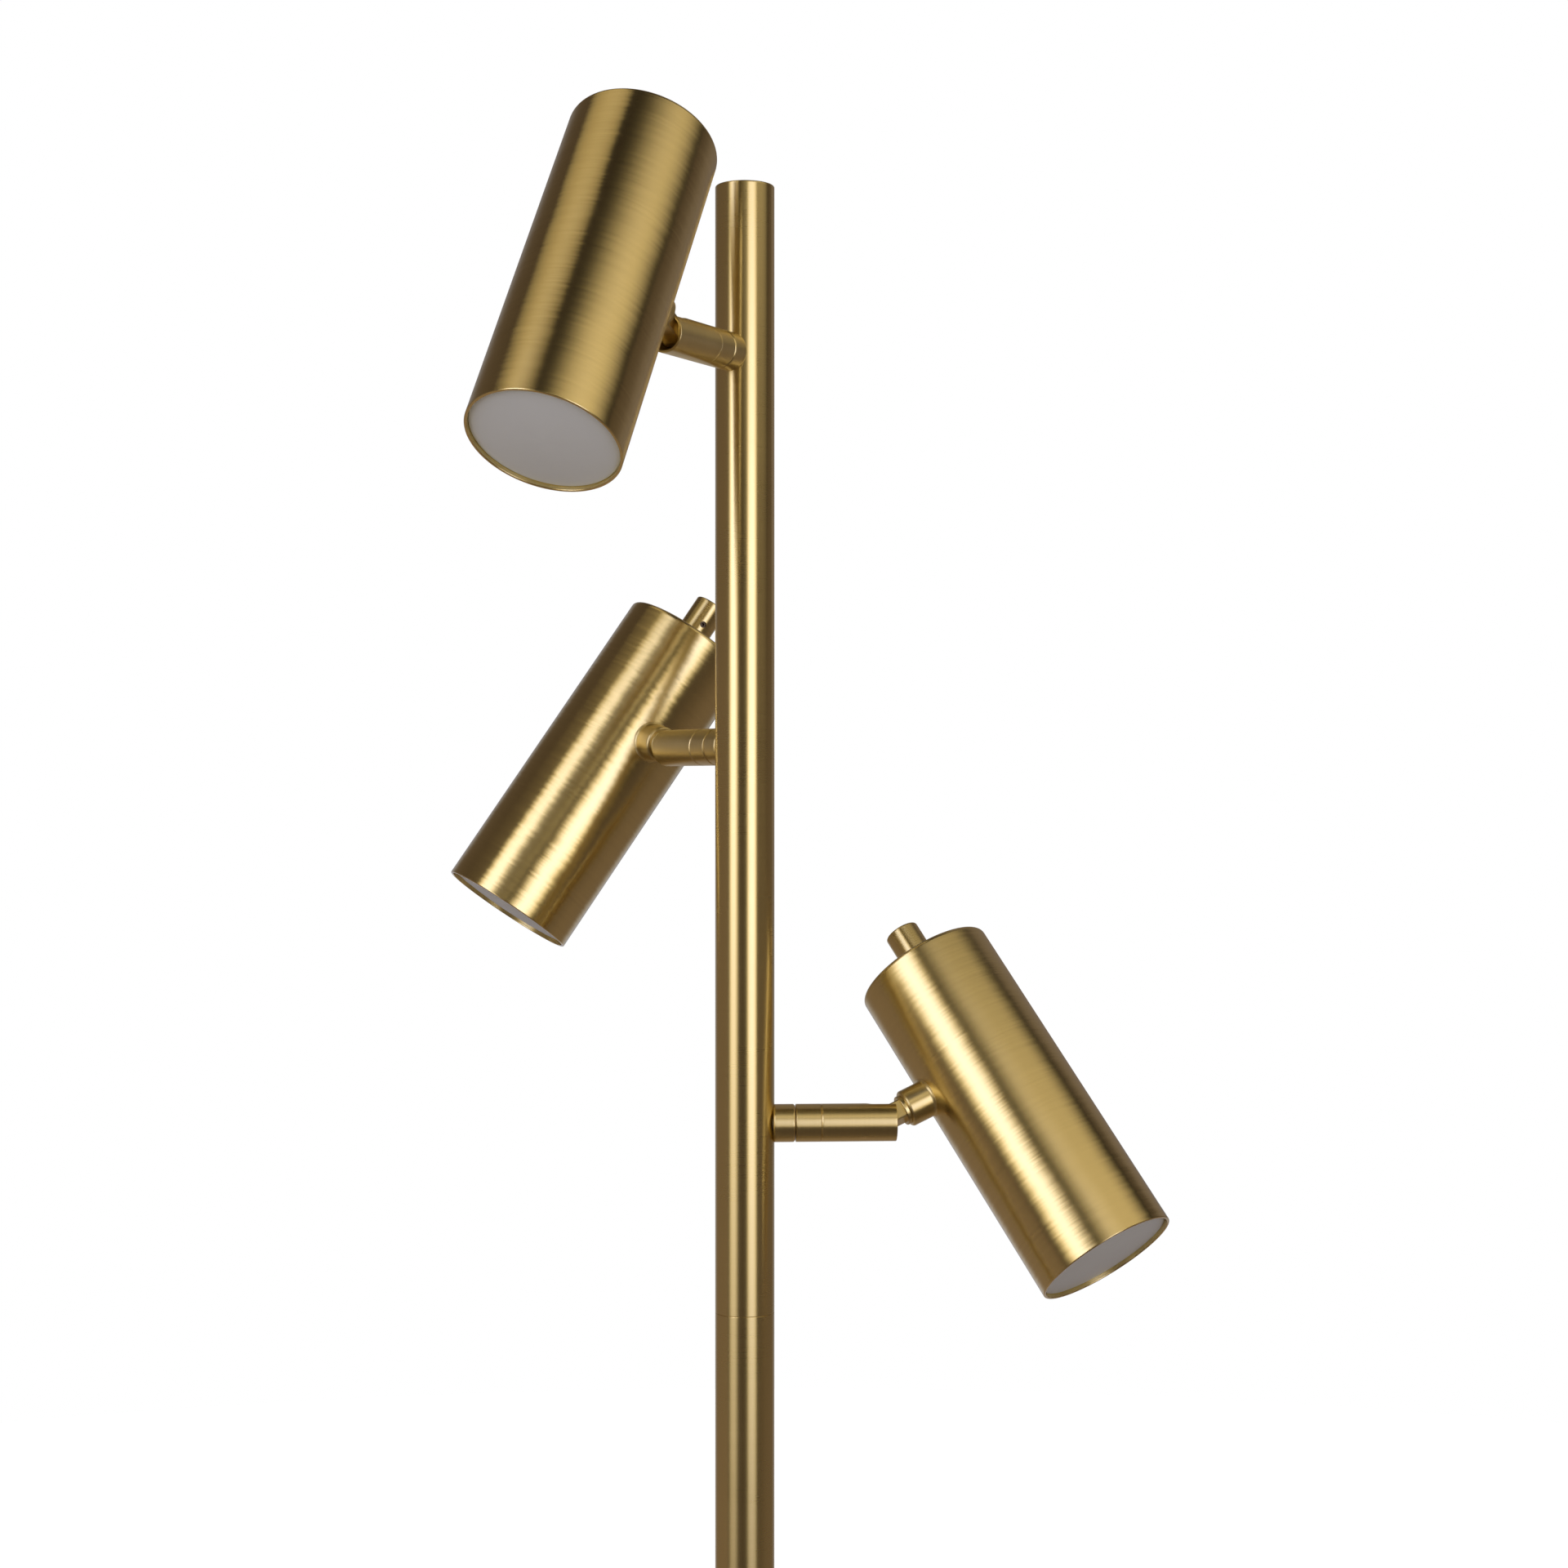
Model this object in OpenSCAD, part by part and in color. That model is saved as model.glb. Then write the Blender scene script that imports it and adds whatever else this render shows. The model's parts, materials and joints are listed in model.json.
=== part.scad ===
// Three-headed brass floor lamp: a pole of three screwed sections on a weighted round base, with three
// short arms that swivel about their own axes and carry tilting cylindrical heads.
// The origin is on the floor at the pole's axis. X runs right, Y runs away from the viewer, Z runs up.

/* [Pole] */
// Outer diameter of the pole
pole_d = 25; // [22:0.5:30]
// Wall of the pole tube
pole_wall = 1.5; // [1:0.1:2]
// Length of each of the three pole sections
section_len = 475; // [430:5:520]
// Rounding of the pole's top edge
pole_edge = 0.8; // [0.3:0.1:1.2]
// Length of the threaded joiner inside each seam
joiner_len = 50; // [30:2:70]

/* [Arms] */
// Diameter of the arms
arm_d = 16; // [15:0.5:18]
// Pole's top down to the upper arm's axis
upper_drop = 71.6; // [50:0.1:90]
// Pole's top down to the middle arm's axis
middle_drop = 236.4; // [210:0.1:260]
// Pole's top down to the lower arm's axis
lower_drop = 395.6; // [370:0.1:430]
// Pole's axis to the arm's open end
arm_reach = 64.1; // [62:0.1:70]
// Length of the fixed collar from its flat end to its outer end
collar_len = 9.3; // [8:0.1:11]
// Length of the turning ring
ring_len = 10.6; // [9.6:0.1:12]
// Hinge axis back from the arm's open end
pin_inset = 7.1; // [6.8:0.1:8]
// Diameter of each hinge pin
pin_d = 3; // [2.5:0.1:3.2]

/* [Heads] */
// Outer diameter of a head
head_d = 61; // [56:1:66]
// Length of a head's shell
head_len = 150.4; // [130:0.1:170]
// Wall of a head's shell
head_wall = 1.2; // [0.8:0.1:1.6]
// Boss's axis back to the closed end of the shell
boss_to_back = 54.1; // [46:0.1:58]
// Rounding of the closed end
back_edge = 1.8; // [1.6:0.1:3]
// Length of the boss from its front face to the shell
boss_len = 10.45; // [8:0.05:12]
// Depth of the diffuser's edge behind the rim
diffuser_inset = 1.8; // [1:0.1:3]
// Diameter of a switch knob
knob_d = 15.2; // [13.5:0.1:16]
// Length of a switch knob
knob_len = 19; // [16:0.1:22]

/* [Base] */
// Diameter of the base
base_d = 270; // [240:5:300]
// Height of the base from the floor to its flat top
base_h = 20; // [18:0.5:26]
// Wall of the spun base cover
cover_wall = 1.5; // [1:0.1:2]
// Rounding of the cover's top edge
cover_edge = 6; // [4:0.5:9]
// Thickness of the pad under the base
pad_h = 2; // [1.5:0.5:3]
// Diameter of the collar round the pole's foot
foot_d = 34; // [32:0.5:42]
// Height of the collar round the pole's foot
foot_h = 12; // [10:0.5:18]

/* [Pose] */
// Direction of the upper arm, counted from the viewer's right
upper_arm_angle = 240.8; // [210:0.1:270]
// Direction of the middle arm
middle_arm_angle = 123.2; // [100:0.1:150]
// Direction of the lower arm
lower_arm_angle = 3.6; // [-20:0.1:30]
// Tilt of the upper head above square
upper_tilt_angle = 31.4; // [0:0.1:50]
// Tilt of the middle head
middle_tilt_angle = 8.4; // [0:0.1:50]
// Tilt of the lower head
lower_tilt_angle = 27.1; // [0:0.1:50]
// Swivel of the upper arm about its axis
upper_swivel_angle = 2.6; // [-60:0.1:60]
// Swivel of the middle arm
middle_swivel_angle = 33.8; // [-60:0.1:60]
// Swivel of the lower arm
lower_swivel_angle = -29.9; // [-60:0.1:60]
// Turn of the upper knob
upper_knob_angle = 200; // [0:1:359]
// Turn of the middle knob
middle_knob_angle = 168; // [0:1:359]
// Turn of the lower knob
lower_knob_angle = 150; // [0:1:359]

/* [Hidden] */
heads = ["upper", "middle", "lower"];
// every piece that repeats with the heads, upper to lower
head_pieces = ["swivel_ring", "fork", "hinge_pins", "arm_tube", "tongue", "boss", "shade", "diffuser",
    "led_board", "heat_sink", "switch", "lock_nuts", "spindle", "knob", "knob_screw"];
stand_pieces = ["base_pad", "base_weight", "base_cover", "base_nut", "pole_stem", "foot_collar",
    "lower_pole", "middle_pole", "upper_pole", "pole_joiners", "top_cap", "cord_inlet", "pole_cable",
    "arm_collars", "swivel_bolts"];
$fn = 72;

// clearances and the overrun of cuts
seat_gap = 0.02;
run_gap = 0.05;
slide_gap = 0.1;
part_gap = 0.3;
over = 1;
fine_edge = 0.25;
arc_steps = 6;

// pole
pole_r = pole_d / 2;
bore_r = pole_r - pole_wall;
foot_floor = 5;
foot_z = base_h + foot_floor;
pole_top = foot_z + 3 * section_len;
joiner_bore_r = 3.1;
cap_skirt = 8;
cap_wall = 1.6;
stem_r = 8;
stem_plug_len = 35;
stem_thread_gap = 1.5;
foot_edge = 1.2;

// inlet bush for the supply cord, in the pole's rear just above the foot
inlet_rise = 55;
inlet_r = 3.3;
inlet_neck_r = 4.9;
inlet_flange_r = 6.6;
inlet_flange_t = 2;
inlet_tail = 2;
inlet_z = foot_z + inlet_rise;
cable_r = 2.8;
cable_bend_r = 6.2;

// arms
arm_r = arm_d / 2;
arm_z = [pole_top - upper_drop, pole_top - middle_drop, pole_top - lower_drop];
turn = [upper_arm_angle, middle_arm_angle, lower_arm_angle];
tilt = [upper_tilt_angle, middle_tilt_angle, lower_tilt_angle];
swivel = [upper_swivel_angle, middle_swivel_angle, lower_swivel_angle];
knob_turn = [upper_knob_angle, middle_knob_angle, lower_knob_angle];
collar_bite = 0.7;
collar_x = pole_r - collar_bite;
collar_end = collar_x + collar_len;
collar_edge = 0.9;
ring_x = collar_end + part_gap;
ring_end = ring_x + ring_len;
ring_edge = 0.4;
bolt_r = 5;
bolt_bore_r = 2.6;
bolt_tail = 3.5;
bolt_head_r = 6.2;
bolt_head_t = 3;
bolt_socket = 8;
bolt_socket_depth = 2;
shoulder_t = 4.8;
shoulder_end = ring_x + shoulder_t;
cup_r = 6.8;
stop_half_angle = 8;
stop_in_r = 5.8;
stop_out_r = 7.3;
stop_h = 1.2;

// hinge: the fork sits inside the arm tube and the tongue turns between its ears
tube_wall = 0.95;
tube_bore_r = arm_r - tube_wall;
mouth_edge = 0.3;
pin_x = arm_reach - pin_inset;
pin_r = pin_d / 2;
pin_inner = 2.9;
fork_r = tube_bore_r - run_gap;
fork_spigot = 1.8;
fork_bore_r = 3;
ear_inset = 2.9;
fork_end = arm_reach - ear_inset;
tongue_half_w = 4.4;
tongue_half_t = 4.1;
tongue_rod_r = 5.6;
ear_gap_half = tongue_half_w + slide_gap;
eye_gap = 0.5;
fork_slot_x = pin_x - tongue_half_t - eye_gap;
slot_side_gap = 0.5;
slot_half_w = tongue_half_w + slot_side_gap;
slot_corner = 3;
slot_lead = 1.4;
slot_x = pin_x - tongue_half_t - slot_lead;
neck_x = 10.9;
neck_t = 1.8;
neck_r = 6.5;
neck_edge = 0.4;
boss_x = neck_x + neck_t;
boss_edge = 1.1;
stud_r = 5;
stud_tail = 5.5;

// heads
head_r = head_d / 2;
head_bore_r = head_r - head_wall;
head_x = boss_x + boss_len + head_r;
back_z = boss_to_back;
open_z = boss_to_back - head_len;
rim_edge = 0.4;
dome_rise = 1.7;
dome_wall = 2;
skirt_wall = 1.6;
skirt_len = 10;
diffuser_r = head_bore_r - slide_gap;
dome_r = (diffuser_r * diffuser_r + dome_rise * dome_rise) / (2 * dome_rise);
dome_edge_z = open_z + diffuser_inset;
sink_z = dome_edge_z + skirt_len;
sink_flange_t = 3;
sink_core_r = 8;
sink_fin_t = 1.5;
sink_fin_h = 20;
sink_fin_gap = 2.2;
sink_fins = 12;
board_r = 22;
board_t = 1.6;
emitter_r = 9;
emitter_t = 1;
nut_t = 3.5;
nut_flats = 15;

// rotary switch, its spindle and the knob
switch_r = 11;
switch_t = 12;
bush_r = 3.5;
bush_rise = 2.25;
spindle_r = 3;
spindle_depth = 6.6;
spindle_rise = 14;
terminal_w = 2;
terminal_t = 0.8;
terminal_len = 4;
terminals = 3;
switch_nut_t = 1.8;
switch_nut_flats = 10;
knob_r = knob_d / 2;
knob_gap = 0.4;
knob_edge = 0.8;
knob_cup_r = 6.1;
knob_cup_depth = 2.3;
grub_rise = 8;
grub_r = 1.5;
grub_recess = 1;
grub_socket = 1.5;

// base
base_r = base_d / 2;
weight_gap = 0.5;
recess_r = 22;
recess_h = 8;
nut_flange_r = 16;
nut_flange_t = 1.4;
base_nut_t = 4.6;
base_nut_flats = 24;
pad_inset = 1.5;

// points along an arc about (cx, cy) from angle a to angle b
function arc(cx, cy, r, a, b, steps = arc_steps) =
    [for (k = [0:steps]) [cx + r * cos(a + (b - a) * k / steps), cy + r * sin(a + (b - a) * k / steps)]];

// half outline of a turned piece between heights z0 and z1, with its outer corners rounded
function turned(ri, ro, z0, z1, e0, e1) =
    concat([[ri, z0]], arc(ro - e0, z0 + e0, e0, -90, 0), arc(ro - e1, z1 - e1, e1, 0, 90), [[ri, z1]]);

module revolve(points) { rotate_extrude() polygon(points); }
module rod(r, z0, z1) { translate([0, 0, z0]) cylinder(r = r, h = z1 - z0); }
module tube(ri, ro, z0, z1) { difference() { rod(ro, z0, z1); rod(ri, z0 - over, z1 + over); } }
module hex(flats, z0, z1) { translate([0, 0, z0]) cylinder(r = flats / 2 / cos(30), h = z1 - z0, $fn = 6); }
module sector(ri, ro, z0, z1, half, at) {
    rotate([0, 0, at - half]) rotate_extrude(angle = 2 * half)
        translate([ri, z0]) square([ro - ri, z1 - z0]);
}

// places: along_x lays a piece built on Z along X; each frame below is carried by the one before
module along_x() { rotate([0, 90, 0]) children(); }
module at_arm(i) { translate([0, 0, arm_z[i]]) rotate([0, 0, turn[i]]) children(); }
module on_arm(i) { at_arm(i) rotate([swivel[i], 0, 0]) children(); }
module on_head(i) { on_arm(i) translate([pin_x, 0, 0]) rotate([0, -tilt[i], 0]) children(); }
module on_shell(i) { on_head(i) translate([head_x, 0, 0]) children(); }
module on_knob(i) { on_shell(i) rotate([0, 0, knob_turn[i]]) children(); }

// stand
module base_pad() { color("dimgray") rod(base_r - pad_inset, 0, pad_h); }

module base_weight() {
    r = base_r - cover_wall - weight_gap;
    top = base_h - cover_wall - seat_gap;
    color("darkslategray") difference() {
        revolve(turned(0, r, pad_h, top, fine_edge, cover_edge - cover_wall));
        rod(recess_r, pad_h - over, pad_h + recess_h);
        rod(stem_r + slide_gap, 0, base_h);
    }
}

module base_cover() {
    hole_r = stem_r + slide_gap;
    corner_r = base_r - cover_edge;
    corner_z = base_h - cover_edge;
    color("goldenrod") revolve(concat(
        [[base_r - cover_wall, pad_h], [base_r, pad_h]],
        arc(corner_r, corner_z, cover_edge, 0, 90),
        [[hole_r, base_h], [hole_r, base_h - cover_wall]],
        arc(corner_r, corner_z, cover_edge - cover_wall, 90, 0)));
}

module base_nut() {
    top = pad_h + recess_h;
    flange = top - nut_flange_t;
    color("silver") difference() {
        union() {
            rod(nut_flange_r, flange, top);
            hex(base_nut_flats, flange - base_nut_t, flange + nut_flange_t / 2);
        }
        rod(stem_r + seat_gap, 0, top + over);
    }
}

module pole_stem() {
    color("peru") revolve(concat(
        [[0, pad_h + stem_thread_gap], [stem_r, pad_h + stem_thread_gap], [stem_r, foot_z]],
        [[bore_r - seat_gap, foot_z]],
        arc(bore_r - seat_gap - pole_edge, foot_z + stem_plug_len - pole_edge, pole_edge, 0, 90),
        [[0, foot_z + stem_plug_len]]));
}

module foot_collar() {
    color("goldenrod") difference() {
        revolve(turned(0, foot_d / 2, base_h, base_h + foot_h, fine_edge, foot_edge));
        rod(pole_r + seat_gap, foot_z, base_h + foot_h + over);
        rod(stem_r + slide_gap, base_h - over, foot_z + over);
    }
}

// pole section k counted from the foot
module section(k, top_edge) {
    z = foot_z + k * section_len;
    revolve(turned(bore_r, pole_r, z, z + section_len, fine_edge, top_edge));
}

module lower_pole() {
    color("gold") difference() {
        section(0, fine_edge);
        translate([0, 0, inlet_z]) rotate([-90, 0, 0]) rod(inlet_neck_r + seat_gap, 0, pole_r + over);
    }
}

module middle_pole() { color("gold") section(1, fine_edge); }

module upper_pole() {
    color("gold") difference() {
        section(2, pole_edge);
        for (i = [0:2]) at_arm(i) along_x() rod(bolt_r + seat_gap, 0, pole_r + over);
    }
}

module pole_joiners() {
    color("peru") for (k = [1:2]) {
        z = foot_z + k * section_len;
        difference() {
            revolve(turned(0, bore_r - seat_gap, z - joiner_len / 2, z + joiner_len / 2, pole_edge, pole_edge));
            rod(joiner_bore_r, z - joiner_len, z + joiner_len);
        }
    }
}

module top_cap() {
    r = bore_r - seat_gap;
    color("gold") difference() {
        rod(r, pole_top - cap_skirt, pole_top);
        rod(r - cap_wall, pole_top - cap_skirt - over, pole_top - cap_wall);
    }
}

// bush built along Z, then turned to point out of the pole's rear
module cord_inlet() {
    face = pole_r + inlet_flange_t;
    color("dimgray") translate([0, 0, inlet_z]) rotate([-90, 0, 0]) difference() {
        union() {
            rod(inlet_neck_r, bore_r - inlet_tail, face - fine_edge);
            difference() {
                revolve(turned(0, inlet_flange_r, bore_r, face, fine_edge, pole_edge));
                rotate([90, 0, 0]) rod(pole_r + seat_gap, -pole_d, pole_d);
            }
        }
        rod(inlet_r, 0, face + over);
    }
}

// the supply cable where the pole holds it: in behind the bush, round a bend and up to the upper arm
module pole_cable() {
    color("black") union() {
        translate([0, cable_bend_r, inlet_z + cable_bend_r]) rotate([90, 0, 90]) rotate([0, 0, 180])
            rotate_extrude(angle = 90) translate([cable_bend_r, 0]) circle(r = cable_r);
        rod(cable_r, inlet_z + cable_bend_r, arm_z[0]);
    }
}

module arm_collars() {
    color("goldenrod") for (i = [0:2]) at_arm(i) union() {
        difference() {
            along_x() revolve(turned(0, arm_r, collar_x, collar_end, collar_edge, collar_edge));
            rod(pole_r + seat_gap, -arm_d, arm_d);
            along_x() rod(bolt_r + seat_gap, 0, collar_end + over);
        }
        along_x() sector(stop_in_r, stop_out_r, collar_end - fine_edge, collar_end + stop_h, stop_half_angle, 180);
    }
}

module swivel_bolts() {
    head_x0 = shoulder_end + slide_gap;
    head_x1 = head_x0 + bolt_head_t;
    color("silver") for (i = [0:2]) at_arm(i) along_x() difference() {
        union() {
            rod(bolt_r, bore_r - bolt_tail, head_x0 + bolt_head_t / 2);
            revolve(turned(0, bolt_head_r, head_x0, head_x1, fine_edge, fine_edge));
        }
        rod(bolt_bore_r, 0, head_x1 + over);
        hex(bolt_socket, head_x1 - bolt_socket_depth, head_x1 + over);
    }
}

// turning side of an arm
module swivel_ring(i) {
    groove_depth = stop_h + part_gap / 3;
    color("gold") on_arm(i) along_x() difference() {
        revolve(turned(0, arm_r, ring_x, ring_end, ring_edge, fine_edge));
        rod(bolt_r + run_gap, ring_x - over, ring_end + over);
        rod(cup_r, shoulder_end, ring_end + over);
        difference() {
            tube(stop_in_r - slide_gap, stop_out_r + slide_gap, ring_x - over, ring_x + groove_depth);
            sector(stop_in_r - part_gap, stop_out_r + part_gap, ring_x - 2 * over, ring_x + over + groove_depth,
                stop_half_angle, 0);
        }
    }
}

module fork(i) {
    color("peru") on_arm(i) difference() {
        along_x() union() {
            rod(cup_r - run_gap, ring_end - fork_spigot, ring_end + over);
            revolve(turned(0, fork_r, ring_end, fork_end, fine_edge, pole_edge));
        }
        along_x() rod(fork_bore_r, ring_end - fork_spigot - over, fork_slot_x + over);
        translate([fork_slot_x, -ear_gap_half, -arm_r]) cube([arm_reach, 2 * ear_gap_half, arm_d]);
        translate([pin_x, 0, 0]) rotate([90, 0, 0]) rod(pin_r + seat_gap / 2, -arm_r, arm_r);
    }
}

module hinge_pins(i) {
    color("silver") on_arm(i) translate([pin_x, 0, 0]) for (side = [-1, 1])
        rotate([90 * side, 0, 0]) rod(pin_r, pin_inner, fork_r - run_gap);
}

// slot in the top of the arm tube that lets the tongue rise
module arm_slot() {
    out_x = arm_reach + over;
    in_x = slot_x + slot_corner;
    in_y = slot_half_w - slot_corner;
    linear_extrude(height = arm_r + over) polygon(concat(
        [[out_x, -slot_half_w], [out_x, slot_half_w]],
        arc(in_x, in_y, slot_corner, 90, 180),
        arc(in_x, -in_y, slot_corner, 180, 270)));
}

module arm_tube(i) {
    color("gold") on_arm(i) difference() {
        along_x() revolve(turned(tube_bore_r, arm_r, ring_end + seat_gap, arm_reach, fine_edge, mouth_edge));
        arm_slot();
    }
}

// head side of the hinge
module tongue(i) {
    stud_end = head_x - head_bore_r + stud_tail;
    color("goldenrod") on_head(i) difference() {
        union() {
            intersection() {
                along_x() rod(tongue_rod_r, -tongue_half_t - over, neck_x + fine_edge);
                translate([0, tongue_half_w, 0]) rotate([90, 0, 0]) linear_extrude(height = 2 * tongue_half_w)
                    polygon(concat([[neck_x + over, -tongue_half_t], [neck_x + over, tongue_half_t]],
                        arc(0, 0, tongue_half_t, 90, 270, 4 * arc_steps)));
            }
            along_x() revolve(turned(0, neck_r, neck_x, boss_x, neck_edge, fine_edge));
            along_x() rod(stud_r, boss_x - fine_edge, stud_end);
        }
        along_x() rod(bolt_bore_r, -2 * tongue_half_t, stud_end + over);
        rotate([90, 0, 0]) rod(pin_r + run_gap, -tongue_rod_r, tongue_rod_r);
    }
}

module boss(i) {
    color("gold") on_head(i) difference() {
        along_x() revolve(turned(0, arm_r, boss_x, head_x, boss_edge, fine_edge));
        translate([head_x, 0, 0]) rod(head_r + seat_gap, -arm_d, arm_d);
        along_x() rod(stud_r + seat_gap, 0, head_x + over);
    }
}

module shade(i) {
    color("gold") on_shell(i) difference() {
        revolve(turned(0, head_r, open_z, back_z, rim_edge, back_edge));
        revolve(turned(0, head_bore_r, open_z - over, back_z - head_wall, fine_edge, back_edge - head_wall / 2));
        rotate([0, -90, 0]) rod(stud_r + slide_gap, head_bore_r - over, head_r + over);
        rod(bush_r + slide_gap, back_z - head_wall - over, back_z + over);
    }
}

module diffuser(i) {
    ball_z = dome_edge_z - dome_rise + dome_r;
    color("ivory") on_shell(i) difference() {
        intersection() {
            rod(diffuser_r, dome_edge_z - 2 * dome_rise, sink_z);
            translate([0, 0, ball_z]) sphere(r = dome_r);
        }
        intersection() {
            rod(diffuser_r - skirt_wall, dome_edge_z - dome_rise, sink_z + over);
            translate([0, 0, ball_z]) sphere(r = dome_r - dome_wall);
        }
    }
}

module led_board(i) {
    color("white") on_shell(i) union() {
        rod(board_r, sink_z - board_t, sink_z);
        rod(emitter_r, sink_z - board_t - emitter_t, sink_z - board_t / 2);
    }
}

module heat_sink(i) {
    flange_z = sink_z + sink_flange_t;
    fin_r = head_bore_r - sink_fin_gap;
    color("lightsteelblue") on_shell(i) difference() {
        union() {
            rod(head_bore_r - run_gap, sink_z, flange_z);
            rod(sink_core_r, sink_z, flange_z + sink_fin_h);
            for (k = [0:sink_fins - 1]) rotate([0, 0, 360 * k / sink_fins])
                translate([sink_core_r / 2, -sink_fin_t / 2, flange_z - fine_edge])
                    cube([fin_r - sink_core_r / 2, sink_fin_t, sink_fin_h]);
        }
        rod(bolt_bore_r, sink_z - over, flange_z + sink_fin_h + over);
    }
}

module switch(i) {
    seat_z = back_z - head_wall - seat_gap;
    color("dimgray") on_shell(i) difference() {
        union() {
            rod(switch_r, seat_z - switch_t, seat_z);
            rod(bush_r, seat_z - over, back_z + bush_rise);
            for (k = [0:terminals - 1]) rotate([0, 0, 360 * k / terminals])
                translate([switch_r / 2, -terminal_w / 2, seat_z - switch_t - terminal_len])
                    cube([terminal_t, terminal_w, terminal_len + over]);
        }
        rod(spindle_r + run_gap, back_z - spindle_depth - part_gap, back_z + bush_rise + over);
    }
}

module lock_nuts(i) {
    stud_x = head_x - head_bore_r;
    color("silver") on_head(i) {
        intersection() {
            difference() {
                along_x() hex(nut_flats, stud_x - over, stud_x + nut_t);
                along_x() rod(stud_r + seat_gap, 0, head_x);
            }
            translate([head_x, 0, 0]) rod(head_bore_r - seat_gap, -nut_flats, nut_flats);
        }
        translate([head_x, 0, 0]) difference() {
            hex(switch_nut_flats, back_z, back_z + switch_nut_t);
            rod(bush_r + seat_gap, back_z - over, back_z + switch_nut_t + over);
        }
    }
}

// knob side of the switch
module spindle(i) {
    color("silver") on_knob(i)
        revolve(turned(0, spindle_r, back_z - spindle_depth, back_z + spindle_rise, fine_edge, fine_edge));
}

module knob(i) {
    z = back_z + knob_gap;
    cup_end = z + knob_cup_depth;
    color("gold") on_knob(i) difference() {
        revolve(turned(0, knob_r, z, z + knob_len, fine_edge, knob_edge));
        rod(knob_cup_r, z - over, cup_end);
        rod(spindle_r + seat_gap, cup_end - over, back_z + spindle_rise + seat_gap);
        translate([0, 0, back_z + grub_rise]) along_x() rod(grub_r, 0, knob_r + over);
    }
}

module knob_screw(i) {
    color("dimgray") on_knob(i) translate([0, 0, back_z + grub_rise]) along_x() difference() {
        rod(grub_r - seat_gap, spindle_r + seat_gap, knob_r - grub_recess);
        hex(grub_socket, knob_r - grub_recess - grub_r, knob_r + over);
    }
}

base_pad();
base_weight();
base_cover();
base_nut();
pole_stem();
foot_collar();
lower_pole();
middle_pole();
upper_pole();
pole_joiners();
top_cap();
cord_inlet();
pole_cable();
arm_collars();
swivel_bolts();
for (i = [0:2]) {
    swivel_ring(i);
    fork(i);
    hinge_pins(i);
    arm_tube(i);
    tongue(i);
    boss(i);
    shade(i);
    diffuser(i);
    led_board(i);
    heat_sink(i);
    switch(i);
    lock_nuts(i);
    spindle(i);
    knob(i);
    knob_screw(i);
}
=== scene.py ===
# Dresses a three-head brass floor lamp: brushed brass pieces, opal diffusers, finishes and a studio.
# Lengths are metres. A turned piece is a profile of (height, radius) points carried round an axis.
import json
import math

import bpy
import numpy as np
from mathutils import Matrix, Vector


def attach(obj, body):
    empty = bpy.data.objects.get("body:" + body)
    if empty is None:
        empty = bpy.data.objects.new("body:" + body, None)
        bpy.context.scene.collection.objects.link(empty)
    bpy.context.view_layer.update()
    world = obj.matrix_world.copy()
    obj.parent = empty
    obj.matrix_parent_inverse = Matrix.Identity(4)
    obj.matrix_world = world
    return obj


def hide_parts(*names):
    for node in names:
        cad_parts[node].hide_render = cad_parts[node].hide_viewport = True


bl_info = {
    "name": "Three-head brass floor lamp",
    "version": (1, 0, 0),
    "blender": (4, 5, 0),
    "location": "3D View > Sidebar > Lamp",
    "description": "Builds the brushed brass pieces, the finishes and the studio of a floor lamp",
    "category": "Object",
}

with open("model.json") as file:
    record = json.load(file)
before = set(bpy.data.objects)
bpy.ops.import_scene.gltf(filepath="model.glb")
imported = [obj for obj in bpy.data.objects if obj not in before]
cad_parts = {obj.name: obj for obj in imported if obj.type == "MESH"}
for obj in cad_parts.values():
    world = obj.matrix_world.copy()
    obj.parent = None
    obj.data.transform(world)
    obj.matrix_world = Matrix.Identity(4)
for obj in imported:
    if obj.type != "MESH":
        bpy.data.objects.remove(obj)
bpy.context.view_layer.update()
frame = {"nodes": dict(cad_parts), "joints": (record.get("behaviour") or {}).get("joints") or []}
JOINTS = {joint["name"]: joint for joint in frame["joints"]}
HEADS = ("upper", "middle", "lower")
SECTIONS = ("lower", "middle", "upper")
MM = 0.001

# Gaps between pieces that fit together.
SEAT_GAP = 0.02 * MM
TURNING_GAP = 0.05 * MM
STEM_GAP = 0.1 * MM
RING_GAP = 0.3 * MM

# Roundings of edges that hardly show, from the sharpest on.
CRISP_EDGE = 0.1 * MM
FINE_EDGE = 0.15 * MM
SLIGHT_EDGE = 0.2 * MM
EASED_EDGE = 0.25 * MM
SOFT_EDGE = 0.3 * MM
BROAD_EDGE = 0.4 * MM

# How far in from its roundings a straight gets an extra point, which keeps its shading flat.
HOLD = 0.12 * MM
BASE_HOLD = 0.4 * MM

# How far the base and the shades stay inside their solids.
BASE_INSET = 0.05 * MM
HEAD_INSET = 0.01 * MM

# Points nearer to each other than this are one point.
NEAR = 1e-7


# Frames: each is an origin and three rows, the world directions of the piece's own x, y and z.

def unit(vector):
    """The vector at length one."""
    vector = np.asarray(vector, float)
    return vector / np.linalg.norm(vector)


def joint_axis(name):
    """Unit direction of a joint's axis."""
    return unit(JOINTS[name]["axis"])


def stand_frame():
    """The floor's frame, with z up the pole."""
    return np.zeros(3), np.eye(3)


def collar_frame(head):
    """Origin on the pole's axis, z out along the arm, y up the pole."""
    along = joint_axis(head + "_arm_swivel")
    up = np.array((0, 0, 1.0))
    origin = np.array((0, 0, JOINTS[head + "_arm_swivel"]["pos_m"][2]))
    return origin, np.array((np.cross(up, along), up, along))


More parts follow.
